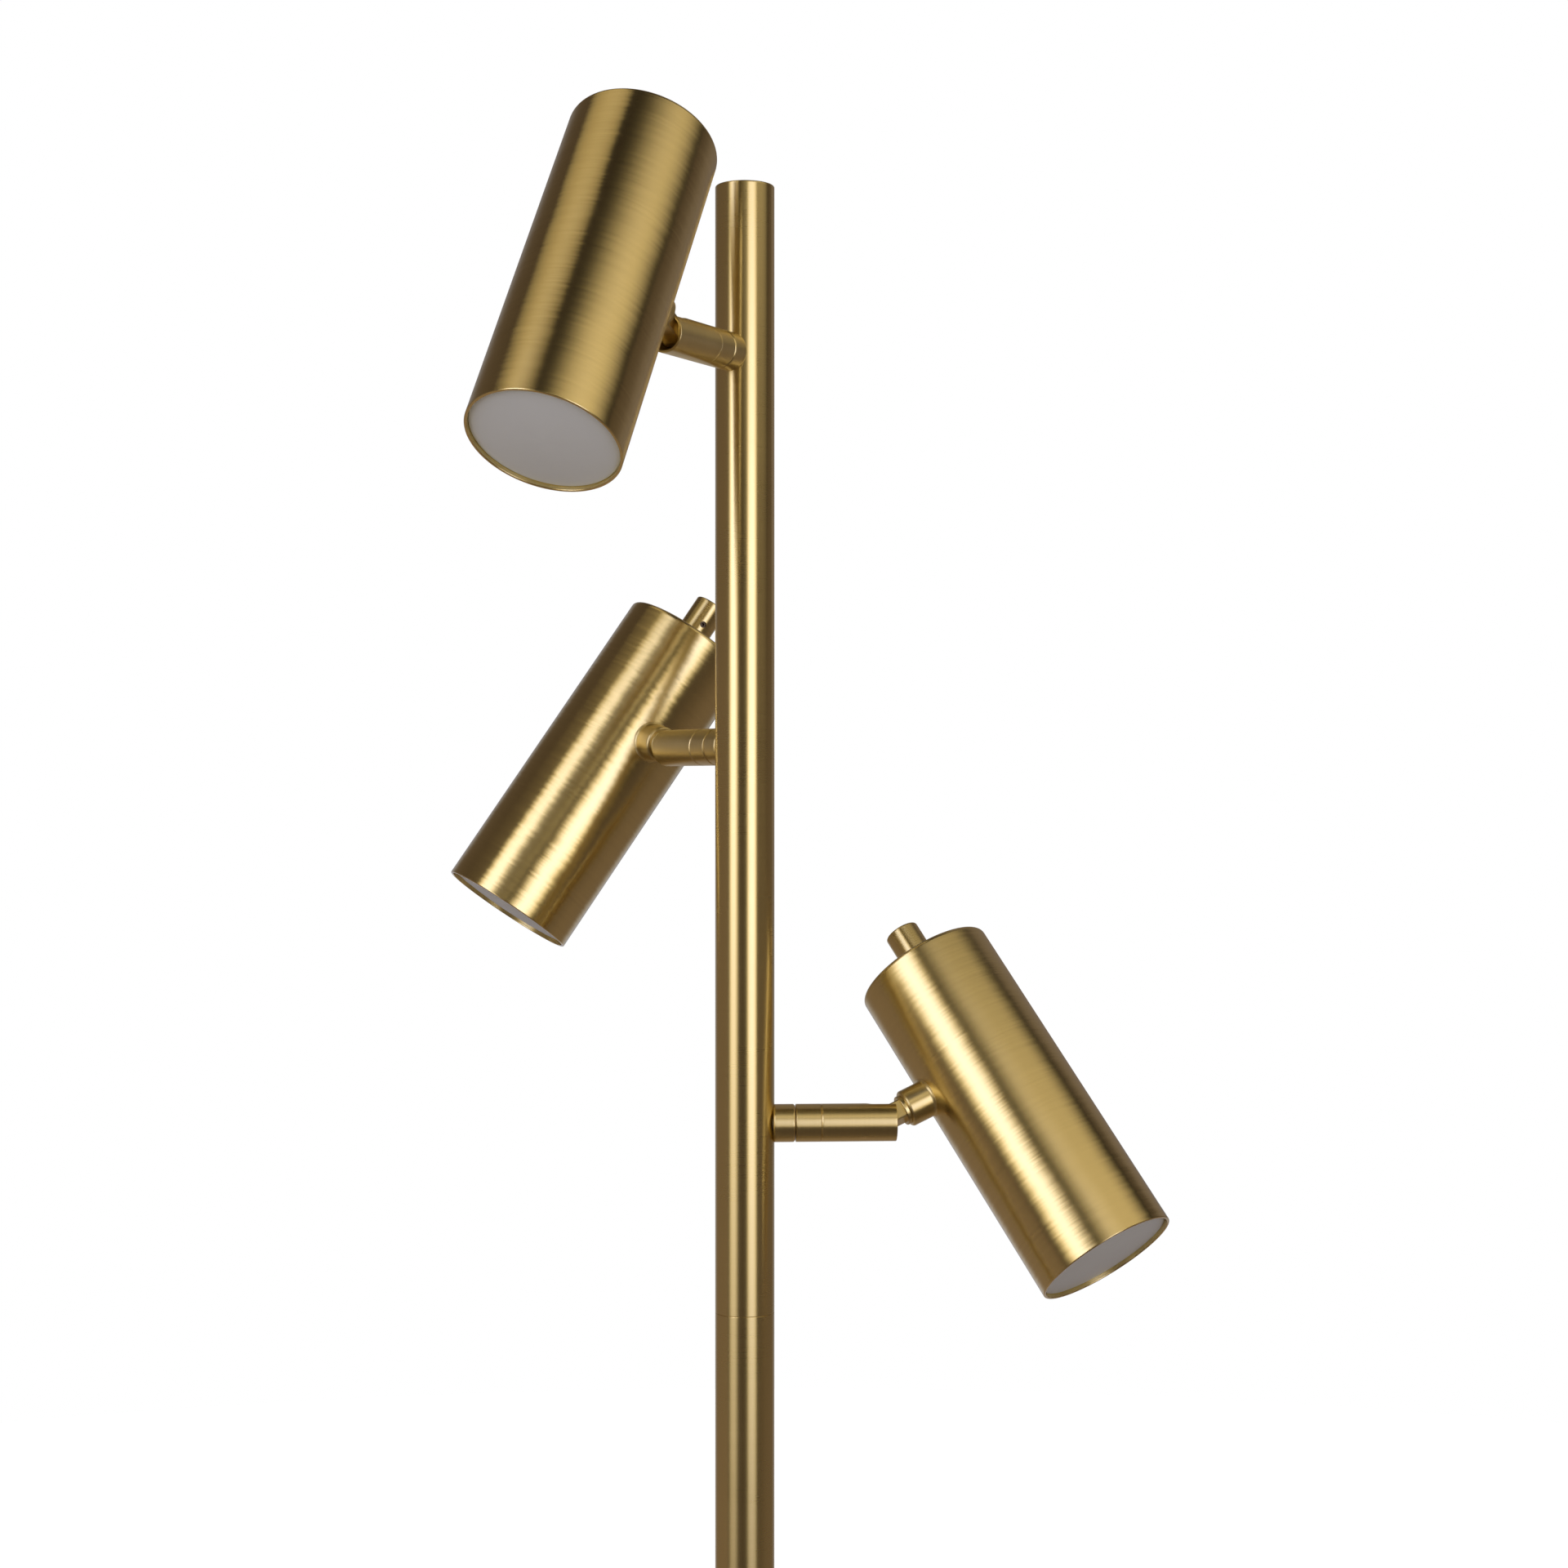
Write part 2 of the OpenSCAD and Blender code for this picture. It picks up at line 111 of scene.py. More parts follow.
def arm_frame(head):
    """Origin on the pole's axis, z out along the arm, y towards the slot in the arm's top."""
    along = joint_axis(head + "_arm_swivel")
    hinge = -joint_axis(head + "_head_tilt")
    origin = np.array((0, 0, JOINTS[head + "_arm_swivel"]["pos_m"][2]))
    slot_way = np.cross(along, hinge)
    return origin, np.array((np.cross(slot_way, along), slot_way, along))


def boss_frame(head):
    """Origin on the hinge, z out along the boss, y towards the shade's closed end."""
    back = joint_axis(head + "_knob_turn")
    hinge = -joint_axis(head + "_head_tilt")
    return np.array(JOINTS[head + "_head_tilt"]["pos_m"]), np.array((hinge, back, np.cross(hinge, back)))


def shade_frame(head):
    """Origin on the shade's axis level with the boss, z towards the closed end, x away from the arm."""
    pin, (hinge, back, out) = boss_frame(head)
    knob = np.array(JOINTS[head + "_knob_turn"]["pos_m"])
    return pin + out * np.dot(knob - pin, out), np.array((out, hinge, back))


def measured(node, place):
    """Largest radius, lowest and highest z of a CAD node in a frame."""
    origin, axes = place
    mesh = frame["nodes"][node].data
    points = np.zeros(len(mesh.vertices) * 3, np.float32)
    mesh.vertices.foreach_get("co", points)
    local = (points.reshape(-1, 3) - origin) @ axes.T
    radius = np.hypot(local[:, 0], local[:, 1]).max()
    return float(radius), float(local[:, 2].min()), float(local[:, 2].max())


POLE_R, POLE_FOOT, _ = measured("lower_pole", stand_frame())
POLE_TOP = measured("upper_pole", stand_frame())[2]
BASE_R, BASE_LOW, BASE_TOP = measured("base_cover", stand_frame())
BASE_R -= BASE_INSET
FOOT_R, _, FOOT_TOP = measured("foot_collar", stand_frame())
ARM_R, RING_IN, RING_OUT = measured("upper_swivel_ring", arm_frame("upper"))
_, TUBE_IN, ARM_REACH = measured("upper_arm_tube", arm_frame("upper"))
HEAD_R, HEAD_OPEN, HEAD_BACK = measured("upper_shade", shade_frame("upper"))
HEAD_R -= HEAD_INSET
DIFFUSER_R, DIFFUSER_LOW, DIFFUSER_TOP = measured("upper_diffuser", shade_frame("upper"))
BOSS_FACE = measured("upper_boss", boss_frame("upper"))[1]
HEAD_X = float(np.dot(shade_frame("upper")[0] - boss_frame("upper")[0], boss_frame("upper")[1][2]))


# Properties: the sizes and colours that a user would change.

def length(label, text, default):
    """A length property in metres."""
    return bpy.props.FloatProperty(name=label, description=text, default=default, unit="LENGTH", precision=5)


def share(label, text, default):
    """A property from nought to one."""
    return bpy.props.FloatProperty(name=label, description=text, default=default, min=0, max=1,
                                   subtype="FACTOR")


def colour(label, text, default):
    """A colour property."""
    return bpy.props.FloatVectorProperty(name=label, description=text, default=default, size=3, min=0, max=1,
                                         subtype="COLOR")


def light_strength(label, text, default):
    """How strong a light is."""
    return bpy.props.FloatProperty(name=label, description=text, default=default, min=0)


class LampPoleSizes(bpy.types.PropertyGroup):
    """Sizes of the pole and the base."""
    wall: length("Pole wall", "Wall of the pole tube", 1.5 * MM)
    top_edge: length("Top edge", "Rounding of the pole's top edge", 0.8 * MM)
    seam_edge: length("Seam edge", "Rounding at each seam", 0.25 * MM)
    cap_skirt: length("Cap skirt", "Depth of the top cap's skirt", 8 * MM)
    cap_wall: length("Cap wall", "Wall of the top cap", 1.6 * MM)
    cover_wall: length("Cover wall", "Wall of the spun base cover", 1.5 * MM)
    cover_edge: length("Cover edge", "Rounding of the base's top edge", 6 * MM)
    foot_edge: length("Foot edge", "Rounding of the foot collar", 1.2 * MM)
    stem_radius: length("Stem", "Radius of the stem under the pole", 8 * MM)


class LampArmSizes(bpy.types.PropertyGroup):
    """Sizes of the arms."""
    collar_length: length("Collar", "Length of the fixed collar", 9.3 * MM)
    collar_edge: length("Collar edge", "Rounding of the fixed collar", 0.9 * MM)
    bolt_radius: length("Bolt", "Radius of the hollow bolt", 5 * MM)
    cup_radius: length("Cup", "Radius of the cup inside the turning ring", 6.8 * MM)
    shoulder: length("Shoulder", "Depth of the turning ring's shoulder", 4.8 * MM)
    tube_wall: length("Tube wall", "Wall of the arm tube", 0.95 * MM)
    mouth_edge: length("Mouth edge", "Rounding of the arm's open end", 0.3 * MM)
    slot_half: length("Slot half width", "Half width of the slot in the arm's top", 4.9 * MM)
    slot_start: length("Slot start", "Pole's axis to the slot's closed end", 51.5 * MM)
    slot_corner: length("Slot corner", "Corner radius of the slot's closed end", 3 * MM)
    boss_edge: length("Boss edge", "Rounding of the boss's front", 1.1 * MM)
    boss_fillet: length("Boss fillet", "Fillet between the boss and the shade", 1.1 * MM)
    stud_radius: length("Stud", "Radius of the hollow stud through the boss", 5 * MM)


class LampHeadSizes(bpy.types.PropertyGroup):
    """Sizes of the heads."""
    wall: length("Shade wall", "Wall of a shade", 1.2 * MM)
    back_edge: length("Back edge", "Rounding of a shade's closed end", 1.8 * MM)
    rim_edge: length("Rim edge", "Rounding of a shade's rim", 0.4 * MM)
    bush_hole: length("Bush hole", "Radius of the hole for the switch's bush", 3.6 * MM)
    dome_rise: length("Dome rise", "Rise of the diffuser's dome", 1.7 * MM)
    dome_wall: length("Dome wall", "Wall of the diffuser's dome", 2 * MM)
    skirt_wall: length("Skirt wall", "Wall of the diffuser's skirt", 1.6 * MM)


class LampFinish(bpy.types.PropertyGroup):
    """Colours and surfaces."""
    brass: colour("Brass", "Colour of the satin brass", (0.8, 0.65, 0.3))
    # The lighter colour that convex edges take: partly real rubbing, partly a painted edge highlight.
    worn_and_highlit: colour("Worn and highlit brass", "Colour of brass at rubbed edges: partly real rubbing, partly a painted highlight", (0.95, 0.74, 0.36))
    head_roughness: share("Head roughness", "Roughness of the shades and the base", 0.242)
    pole_roughness: share("Pole roughness", "Roughness of the pole and the knobs", 0.283)
    arm_roughness: share("Arm roughness", "Roughness of the arms and the bosses", 0.33)
    opal: colour("Opal", "Colour of the diffusers", (0.88, 0.93, 0.87))
    floor: colour("Floor", "Colour of the floor", (0.86, 0.85, 0.84))


class LampStudio(bpy.types.PropertyGroup):
    """Camera and lights."""
    lens: bpy.props.FloatProperty(name="Lens", description="Focal length on a 36 mm sensor", default=58.92,
                                  unit="CAMERA")
    camera: bpy.props.FloatVectorProperty(name="Camera", description="Place of the camera",
                                          default=(0.01655, -1.0836, 1.1977), size=3, subtype="TRANSLATION")
    floor_radius: length("Floor radius", "Radius of the floor", 4.0)
    left: light_strength("Left strip", "Strength of the left strip light", 2.42)
    right: light_strength("Right box", "Strength of the right box light", 2.83)
    top: light_strength("Top boxes", "Strength of the overhead lights", 0.702)


def prop(group):
    """A property group of the scene."""
    return getattr(bpy.context.scene, group)


# Profiles: arrays of (height, radius) points.

def rounded(corners, radii, steps=7):
    """The closed outline through the corners, each replaced by an arc of its radius tangent to both its
    sides. An arc starts radius * tan(turn / 2) before its corner and turns about the point one radius to the
    inside."""
    corners = np.asarray(corners, float)
    radii = np.asarray(radii, float)[:, None]
    before = corners - np.roll(corners, 1, axis=0)
    after = np.roll(corners, -1, axis=0) - corners
    before /= np.linalg.norm(before, axis=1, keepdims=True)
    after /= np.linalg.norm(after, axis=1, keepdims=True)
    across = before[:, 0] * after[:, 1] - before[:, 1] * after[:, 0]
    turn = np.arctan2(across, (before * after).sum(1))[:, None]
    start = corners - before * radii * np.tan(np.abs(turn) / 2)
    inward = np.stack((-before[:, 1], before[:, 0]), 1) * np.sign(turn)
    centre = start + inward * radii
    angle = turn * np.linspace(0, 1, steps)
    arm = -inward * radii
    spin = np.stack((arm[:, :1] * np.cos(angle) - arm[:, 1:] * np.sin(angle),
                     arm[:, :1] * np.sin(angle) + arm[:, 1:] * np.cos(angle)), -1)
    points = (centre[:, None] + spin).reshape(-1, 2)
    return points[np.linalg.norm(points - np.roll(points, 1, axis=0), axis=1) > NEAR]


def held(points, hold=HOLD, closed=True):
    """The outline with an extra point a little way in from both ends of each straight longer than four such
    ways, so that shading stays flat up to the roundings."""
    ends = np.roll(points, -1, axis=0) if closed else points[1:]
    starts = points if closed else points[:-1]
    span = ends - starts
    size = np.linalg.norm(span, axis=1, keepdims=True)
    shares = np.array((0, 1, -1.0)) * hold / np.maximum(size, hold)
    shares[:, 2] += 1
    made = starts[:, None] + span[:, None] * shares[:, :, None]
    keep = np.repeat(size > 4 * hold, 3, axis=1)
    keep[:, 0] = True
    made = made[keep]
    return made if closed else np.vstack((made, points[-1:]))


def ring_outline(inner, outer, low, high, edge_low, edge_high):
    """Outline of a turned ring with rounded outer corners."""
    corners = ((low, inner), (low, outer), (high, outer), (high, inner))
    return held(rounded(corners, (FINE_EDGE, edge_low, edge_high, FINE_EDGE)))


# Meshes

def ring_angles(count):
    """The angles of a count of points spread evenly round a circle."""
    return np.arange(count) * 2 * math.pi / count


def round_points(radius, angle, height):
    """Points at radius * cos, radius * sin, height."""
    return np.stack((radius * np.cos(angle), radius * np.sin(angle), height + 0 * angle), -1)


def path_length(steps, columns):
    """The distance along a path up to each of its points, as a table with a row for each point."""
    return np.concatenate(((0,), np.cumsum(steps)))[:, None] + np.zeros(columns)


def cells(table):
    """The four corners of each cell of a table, in order round the cell."""
    return np.stack((table[:-1, :-1], table[:-1, 1:], table[1:, 1:], table[1:, :-1]), 2)


def six_volumes(points, faces):
    """Six times the volume inside the faces: each one's two triangles make a wedge with the middle point."""
    first, second, third, fourth = (points[faces[:, k]] - points.mean(0) for k in range(4))
    return (np.cross(first, second) * third).sum() + (np.cross(first, third) * fourth).sum()


def new_mesh(name, points, faces, corner_uv, grain):
    """A smooth mesh of four-cornered faces, each without the corners that repeat the one before them."""
    keep = faces != np.roll(faces, 1, axis=1)
    sizes = keep.sum(1)
    mesh = bpy.data.meshes.new(name)
    mesh.vertices.add(len(points))
    mesh.vertices.foreach_set("co", points.astype(np.float32).ravel())
    mesh.loops.add(int(sizes.sum()))
    mesh.loops.foreach_set("vertex_index", faces[keep].astype(np.int32))
    mesh.polygons.add(len(faces))
    mesh.polygons.foreach_set("loop_start", (np.cumsum(sizes) - sizes).astype(np.int32))
    mesh.update(calc_edges=True)
    layer = mesh.uv_layers.new(name="turned")
    layer.data.foreach_set("uv", corner_uv[keep].astype(np.float32).ravel())
    attribute = mesh.attributes.new("grain", "FLOAT_VECTOR", "POINT")
    attribute.data.foreach_set("vector", grain.astype(np.float32).ravel())
    mesh.validate()
    mesh.shade_smooth()
    return mesh


def skin(name, grid, around, along, place, closed=True):
    """A piece over a grid of local points, rows by columns. The columns close on themselves. The rows close
    too, or else start and end in one point each. around and along are each point's distances round and along
    the piece: they make its UV map and its grain attribute."""
    rows, columns = grid.shape[:2]
    numbers = np.arange(rows * columns).reshape(rows, columns)
    if not closed:
        numbers[0] = 0
        numbers[-1] = numbers[-1, 0]
    loop = np.hstack((numbers, numbers[:, :1]))
    turns = np.hstack((around, 2 * around[:, -1:] - around[:, -2:-1]))
    reach = np.hstack((along, along[:, :1]))
    if closed:
        loop = np.vstack((loop, loop[:1]))
        turns = np.vstack((turns, turns[:1]))
        step = np.linalg.norm(grid[0] - grid[-1], axis=1).mean()
        reach = np.vstack((reach, reach[-1:] + step))
    faces = cells(loop).reshape(-1, 4)
    corner_uv = cells(np.stack((reach, turns), -1)).reshape(-1, 4, 2)
    points = grid.reshape(-1, 3)
    if six_volumes(points, faces) < 0:
        faces = faces[:, ::-1]
        corner_uv = corner_uv[:, ::-1]
    radius = float(np.abs(around).max()) / (2 * math.pi)
    angle = around / max(radius, NEAR)
    grain = np.stack((along, radius * np.cos(angle), radius * np.sin(angle)), -1).reshape(-1, 3)
    used, renumbered = np.unique(faces, return_inverse=True)
    origin, axes = place
    mesh = new_mesh(name, points[used] @ axes + origin, renumbered.reshape(-1, 4), corner_uv, grain[used])
    piece = bpy.data.objects.new(name, mesh)
    bpy.context.scene.collection.objects.link(piece)
    return piece


def carried(profile, columns):
    """A profile carried round z: the local points, and each one's distances round and along."""
    angle = ring_angles(columns)
    height, radius = profile[:, :1], profile[:, 1:]
    along = path_length(np.linalg.norm(np.diff(profile, axis=0), axis=1), columns)
    around = angle * profile[:, 1].max() + 0 * height
    return round_points(radius, angle, height), around, along


def turned(name, profile, place, columns=144, closed=True):
    """A piece turned about z: a profile point (height, radius) goes to radius * cos, radius * sin, height."""
    return skin(name, *carried(profile, columns), place, closed)


def finish_piece(piece, material, body, slot, *nodes):
    """Gives a piece its material and body, and hides the CAD nodes that it stands for. The slot is not used.
    """
    piece.data.materials.append(material)
    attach(piece, body)
    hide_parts(*nodes)


def joined(name, pieces):
    """Several pieces as one mesh."""
    with bpy.context.temp_override(active_object=pieces[0], selected_editable_objects=pieces,
                                   selected_objects=pieces, object=pieces[0]):
        bpy.ops.object.join()
    pieces[0].name = name
    pieces[0].data.name = name
    return pieces[0]


# Node trees

def put(tree, kind, settings=None, inputs=None):
    """A new node with its settings, and its inputs set or linked."""
    made = tree.nodes.new(kind)
    for key, value in (settings or {}).items():
        setattr(made, key, value)
    for key, value in (inputs or {}).items():
        if isinstance(value, bpy.types.NodeSocket):
            tree.links.new(value, made.inputs[key])
        else:
            made.inputs[key].default_value = value
    return made


def maths(tree, operation, first, second=0.0, third=0.0):
    """The output of a Math node."""
    return put(tree, "ShaderNodeMath", {"operation": operation}, {0: first, 1: second, 2: third}).outputs[0]


def with_products(tree, start, *pairs):
    """A value plus each pair's product."""
    for value, weight in pairs:
        start = maths(tree, "ADD", start, maths(tree, "MULTIPLY", value, weight))
    return start


def vectors(tree, operation, first, second=(0, 0, 0)):
    """The output of a Vector Math node."""
    return put(tree, "ShaderNodeVectorMath", {"operation": operation}, {0: first, 1: second}).outputs[0]


def scaled(tree, vector, amount):
    """A vector times a value."""
    made = put(tree, "ShaderNodeVectorMath", {"operation": "SCALE"}, {0: vector, "Scale": amount})
    return made.outputs[0]


def noise(tree, vector, scale, detail=2.0):
    """A noise from about minus a half to plus a half, with its scale in waves per unit of the vector."""
    made = put(tree, "ShaderNodeTexNoise", None, {"Vector": vector, "Scale": scale, "Detail": detail})
    return maths(tree, "SUBTRACT", made.outputs["Fac"], 0.5)


def smooth(tree, value, start, full, low=0.0, high=1.0):
    """Low up to the start and high from full on, with a smooth step between them."""
    made = put(tree, "ShaderNodeMapRange", {"interpolation_type": "SMOOTHSTEP"},
               {"Value": value, "From Min": start, "From Max": full, "To Min": low, "To Max": high})
    return made.outputs[0]


def mixed(tree, amount, first, second):
    """The first colour, and by the amount the second."""
    return put(tree, "ShaderNodeMix", {"data_type": "RGBA"}, {0: amount, 6: first, 7: second}).outputs[2]


def new_group(name, inputs, outputs):
    """A node group: its tree, its inputs' sockets and its output node. An input is a value or a colour by its
    default, and without one a vector. Each output has its kind."""
    tree = bpy.data.node_groups.new(name, "ShaderNodeTree")
    for label, default in inputs.items():
        kind = "Vector" if default is None else "Color" if isinstance(default, tuple) else "Float"
        socket = tree.interface.new_socket(name=label, in_out="INPUT", socket_type="NodeSocket" + kind)
        if default is not None:
            socket.default_value = default
    for label, kind in outputs.items():
        tree.interface.new_socket(name=label, in_out="OUTPUT", socket_type="NodeSocket" + kind)
    return tree, put(tree, "NodeGroupInput").outputs, put(tree, "NodeGroupOutput")


def give_out(tree, out, values):
    """Links each value to the group's output of that name."""
    for name, value in values.items():
        tree.links.new(value, out.inputs[name])


def brushed_group():
    """Brushed lines: fine and coarse hairlines that run round a piece, and slow drift of tone. Lines is the
    hairlines' mask, Drift the slow one, and Normal the normal leant a little along and round the piece."""
    tree, give, out = new_group(
        "Brushed lines",
        {"Grain": None, "Tangent": None, "Fine per metre": 2600.0, "Coarse per metre": 900.0,
         "Round per metre": 40.0, "Lean": 0.02, "Wave": 0.01},
        {"Lines": "Float", "Drift": "Float", "Normal": "Vector"})
    fine_share, coarse_share = 0.6, 0.7
    other_place = (7.3, 2.1, 5.7)
    drift_per_metre = 38.0
    round_scale = give["Round per metre"]
    fine_scale, coarse_scale = (
        put(tree, "ShaderNodeCombineXYZ", None, {0: give[name], 1: round_scale, 2: round_scale}).outputs[0]
        for name in ("Fine per metre", "Coarse per metre"))
    fine = noise(tree, vectors(tree, "MULTIPLY", give["Grain"], fine_scale), 1.0, detail=1.0)
    coarse_place = vectors(tree, "MULTIPLY", give["Grain"], coarse_scale)
    coarse = noise(tree, coarse_place, 1.0)
    other = noise(tree, vectors(tree, "ADD", coarse_place, other_place), 1.0)
    drift = noise(tree, give["Grain"], drift_per_metre, detail=3.0)
    lines = with_products(tree, maths(tree, "MULTIPLY", fine, fine_share), (coarse, coarse_share))
    normal = put(tree, "ShaderNodeNewGeometry").outputs["Normal"]
    round_way = vectors(tree, "CROSS_PRODUCT", normal, give["Tangent"])
    bend = with_products(tree, maths(tree, "MULTIPLY", other, give["Lean"]), (drift, give["Wave"]))
    lean_round = scaled(tree, round_way, bend)
    lean_along = scaled(tree, give["Tangent"], maths(tree, "MULTIPLY", fine, give["Lean"]))
    leant = vectors(tree, "ADD", normal, vectors(tree, "ADD", lean_round, lean_along))
    give_out(tree, out, {"Lines": lines, "Drift": drift, "Normal": vectors(tree, "NORMALIZE", leant)})
    return tree


def wear_and_highlight_group():
    """Rubbed edges and a painted edge highlight: how much an edge stands out, from the mesh's own curvature,
    broken up by noise.
    """
    tree, give, out = new_group("Edge wear and painted highlight", {"Grain": None, "Start": 0.53, "Full": 0.62, "Amount": 1.0},
                                {"Wear and highlight": "Float"})
    patches_per_metre = 90.0
    least_patch = 0.8
    point = put(tree, "ShaderNodeNewGeometry").outputs["Pointiness"]
    edge = smooth(tree, point, give["Start"], give["Full"])
    patchy = maths(tree, "ADD", noise(tree, give["Grain"], patches_per_metre), least_patch)
    wear_and_highlight = maths(tree, "MULTIPLY", maths(tree, "MULTIPLY", edge, patchy), give["Amount"])
    give_out(tree, out, {"Wear and highlight": wear_and_highlight})
    return tree


def tone_group():
    """Metal tone: the base colour lightened at rubbed edges, partly real rubbing and partly a painted
    highlight, varied by lines and drift, and the roughness.
    """
    tree, give, out = new_group(
        "Metal tone",
        {"Base": (0.9, 0.63, 0.23, 1), "Worn and highlit": (1, 0.8, 0.4, 1), "Lines": 0.0, "Drift": 0.0, "Wear and highlight": 0.0,
         "Line tone": 0.08, "Drift tone": 0.06, "Roughness": 0.3, "Line roughness": 0.05,
         "Drift roughness": 0.06},
        {"Color": "Color", "Roughness": "Float"})
    wear_polish = 0.06
    tone = with_products(tree, maths(tree, "MULTIPLY", give["Lines"], give["Line tone"]),
                         (give["Drift"], give["Drift tone"]))
    shaded = put(tree, "ShaderNodeHueSaturation", None,
                 {"Value": maths(tree, "ADD", tone, 1.0),
                  "Color": mixed(tree, give["Wear and highlight"], give["Base"], give["Worn and highlit"])})
    rough = with_products(tree, give["Roughness"], (give["Lines"], give["Line roughness"]),
                          (give["Drift"], give["Drift roughness"]), (give["Wear and highlight"], -wear_polish))
    give_out(tree, out, {"Color": shaded.outputs[0], "Roughness": rough})
    return tree


def grit_group():
    """Grit: fine even texture on Object coordinates, as a mask and as a height."""
    tree, give, out = new_group("Grit", {"Place": None, "Grains per metre": 900.0, "Spread": 1.0},
                                {"Mask": "Float", "Height": "Float"})
    patches_per_metre = 60.0
    fine = noise(tree, give["Place"], give["Grains per metre"], detail=3.0)
    broad = noise(tree, give["Place"], patches_per_metre)
    mask = maths(tree, "MULTIPLY", maths(tree, "ADD", fine, broad), give["Spread"])
    give_out(tree, out, {"Mask": mask, "Height": fine})
    return tree


GROUPS = {}


def group(tree, maker, inputs):
    """A node that places the group that a maker builds, built the first time it is asked for."""
    if maker not in GROUPS:
        GROUPS[maker] = maker()
    return put(tree, "ShaderNodeGroup", {"node_tree": GROUPS[maker]}, inputs).outputs


# Materials

BUMP_DEPTH = 0.02 * MM


def new_material(name):
    """A material with an empty tree."""
    material = bpy.data.materials.new(name)
    material.use_nodes = True
    material.node_tree.nodes.clear()
    return material, material.node_tree


def close_material(tree, shader):
    """Joins the shader to the material's output."""
    output = put(tree, "ShaderNodeOutputMaterial")
    tree.links.new(shader.outputs[0], output.inputs["Surface"])


def close_surface(tree, tone, inputs):
    """Ends a material with a Principled shader that takes its colour and roughness from a tone."""
    close_material(tree, put(tree, "ShaderNodeBsdfPrincipled", None, {
        "Base Color": tone["Color"], "Roughness": tone["Roughness"], **inputs}))


def bump(tree, strength, distance, height):
    """The normal lifted by a height, one unit of which is the distance."""
    return put(tree, "ShaderNodeBump", None,
               {"Strength": strength, "Distance": distance, "Height": height}).outputs[0]


def opaque(tint):
    """A colour with its alpha."""
    return [*tint, 1]


def grain_of_piece(tree):
    """The piece's own grain attribute."""
    return put(tree, "ShaderNodeAttribute", {"attribute_name": "grain"}).outputs["Vector"]


def object_place(tree):
    """Object coordinates."""
    return put(tree, "ShaderNodeTexCoord").outputs["Object"]


def brushed_brass(name, roughness, spread, lean, round_per_metre, wave=0.01, line_tone=0.1):
    """Satin brass brushed round the piece. The UV map's tangent gives the way that reflections stretch."""
    finish = prop("lamp_finish")
    material, tree = new_material(name)
    grain = grain_of_piece(tree)
    tangent = put(tree, "ShaderNodeTangent", {"direction_type": "UV_MAP", "uv_map": "turned"}).outputs[0]
    lines = group(tree, brushed_group, {"Grain": grain, "Tangent": tangent, "Lean": lean, "Wave": wave,
                                        "Round per metre": round_per_metre})
    # Convex edges get a lighter colour: partly real rubbing, partly a painted edge highlight.
    wear_and_highlight = group(tree, wear_and_highlight_group, {"Grain": grain})
    tone = group(tree, tone_group, {
        "Base": opaque(finish.brass), "Worn and highlit": opaque(finish.worn_and_highlit), "Lines": lines["Lines"],
        "Drift": lines["Drift"], "Wear and highlight": wear_and_highlight["Wear and highlight"], "Line tone": line_tone, "Roughness": roughness})
    close_surface(tree, tone, {"Metallic": 1.0, "Anisotropic": spread, "Tangent": tangent,
                               "Normal": lines["Normal"]})
    return material


def plain_finish(name, base, roughness, metallic=0.0, grains=900.0, lift=0.1, tone=0.15, depth=BUMP_DEPTH):
    """An even finish with fine grit, for pieces that are carried over from the frame. grains counts the grit
    per metre, lift and depth are the bump's strength and depth, and tone is how much the grit shades the
    colour."""
    material, tree = new_material(name)
    grit = group(tree, grit_group, {"Place": object_place(tree), "Grains per metre": grains})
    tones = group(tree, tone_group, {
        "Base": opaque(base), "Worn and highlit": opaque(base), "Drift": grit["Mask"], "Drift tone": tone,
        "Roughness": roughness, "Drift roughness": 0.1})
    close_surface(tree, tones, {"Metallic": metallic, "Normal": bump(tree, lift, depth, grit["Height"])})
    return material


def lined_brass(name, place, roughness, stretch, lift, shade=1.0, spread=0.0):
    """Machined brass on a CAD piece: lines across the piece's own x, y and z, by stretch lines per metre.
    Reflections spread along its own z, which is turned from the piece's space and so follows the joints."""
    finish = prop("lamp_finish")
    origin, axes = place
    drift_per_metre = 120.0
    material, tree = new_material(name)
    turn = Matrix(np.linalg.inv(axes.T).tolist()).to_euler()
    start = -(np.asarray(axes) @ origin)
    local = put(tree, "ShaderNodeMapping", {"vector_type": "POINT"},
                {"Vector": object_place(tree), "Location": tuple(start), "Rotation": tuple(turn)}).outputs[0]
    lined = put(tree, "ShaderNodeMapping", {"vector_type": "POINT"}, {"Vector": local, "Scale": stretch})
    height = noise(tree, lined.outputs[0], 1.0)
    tone = group(tree, tone_group, {
        "Base": opaque(part * shade for part in finish.brass), "Worn and highlit": opaque(finish.worn_and_highlit), "Lines": height,
        "Drift": noise(tree, local, drift_per_metre), "Line tone": 0.25, "Roughness": roughness})
    along = put(tree, "ShaderNodeVectorTransform",
                {"vector_type": "VECTOR", "convert_from": "OBJECT", "convert_to": "WORLD"},
                {0: tuple(axes[2])})
    close_surface(tree, tone, {"Metallic": 1.0, "Anisotropic": spread, "Tangent": along.outputs[0],
                               "Normal": bump(tree, lift, BUMP_DEPTH, height)})
    return material


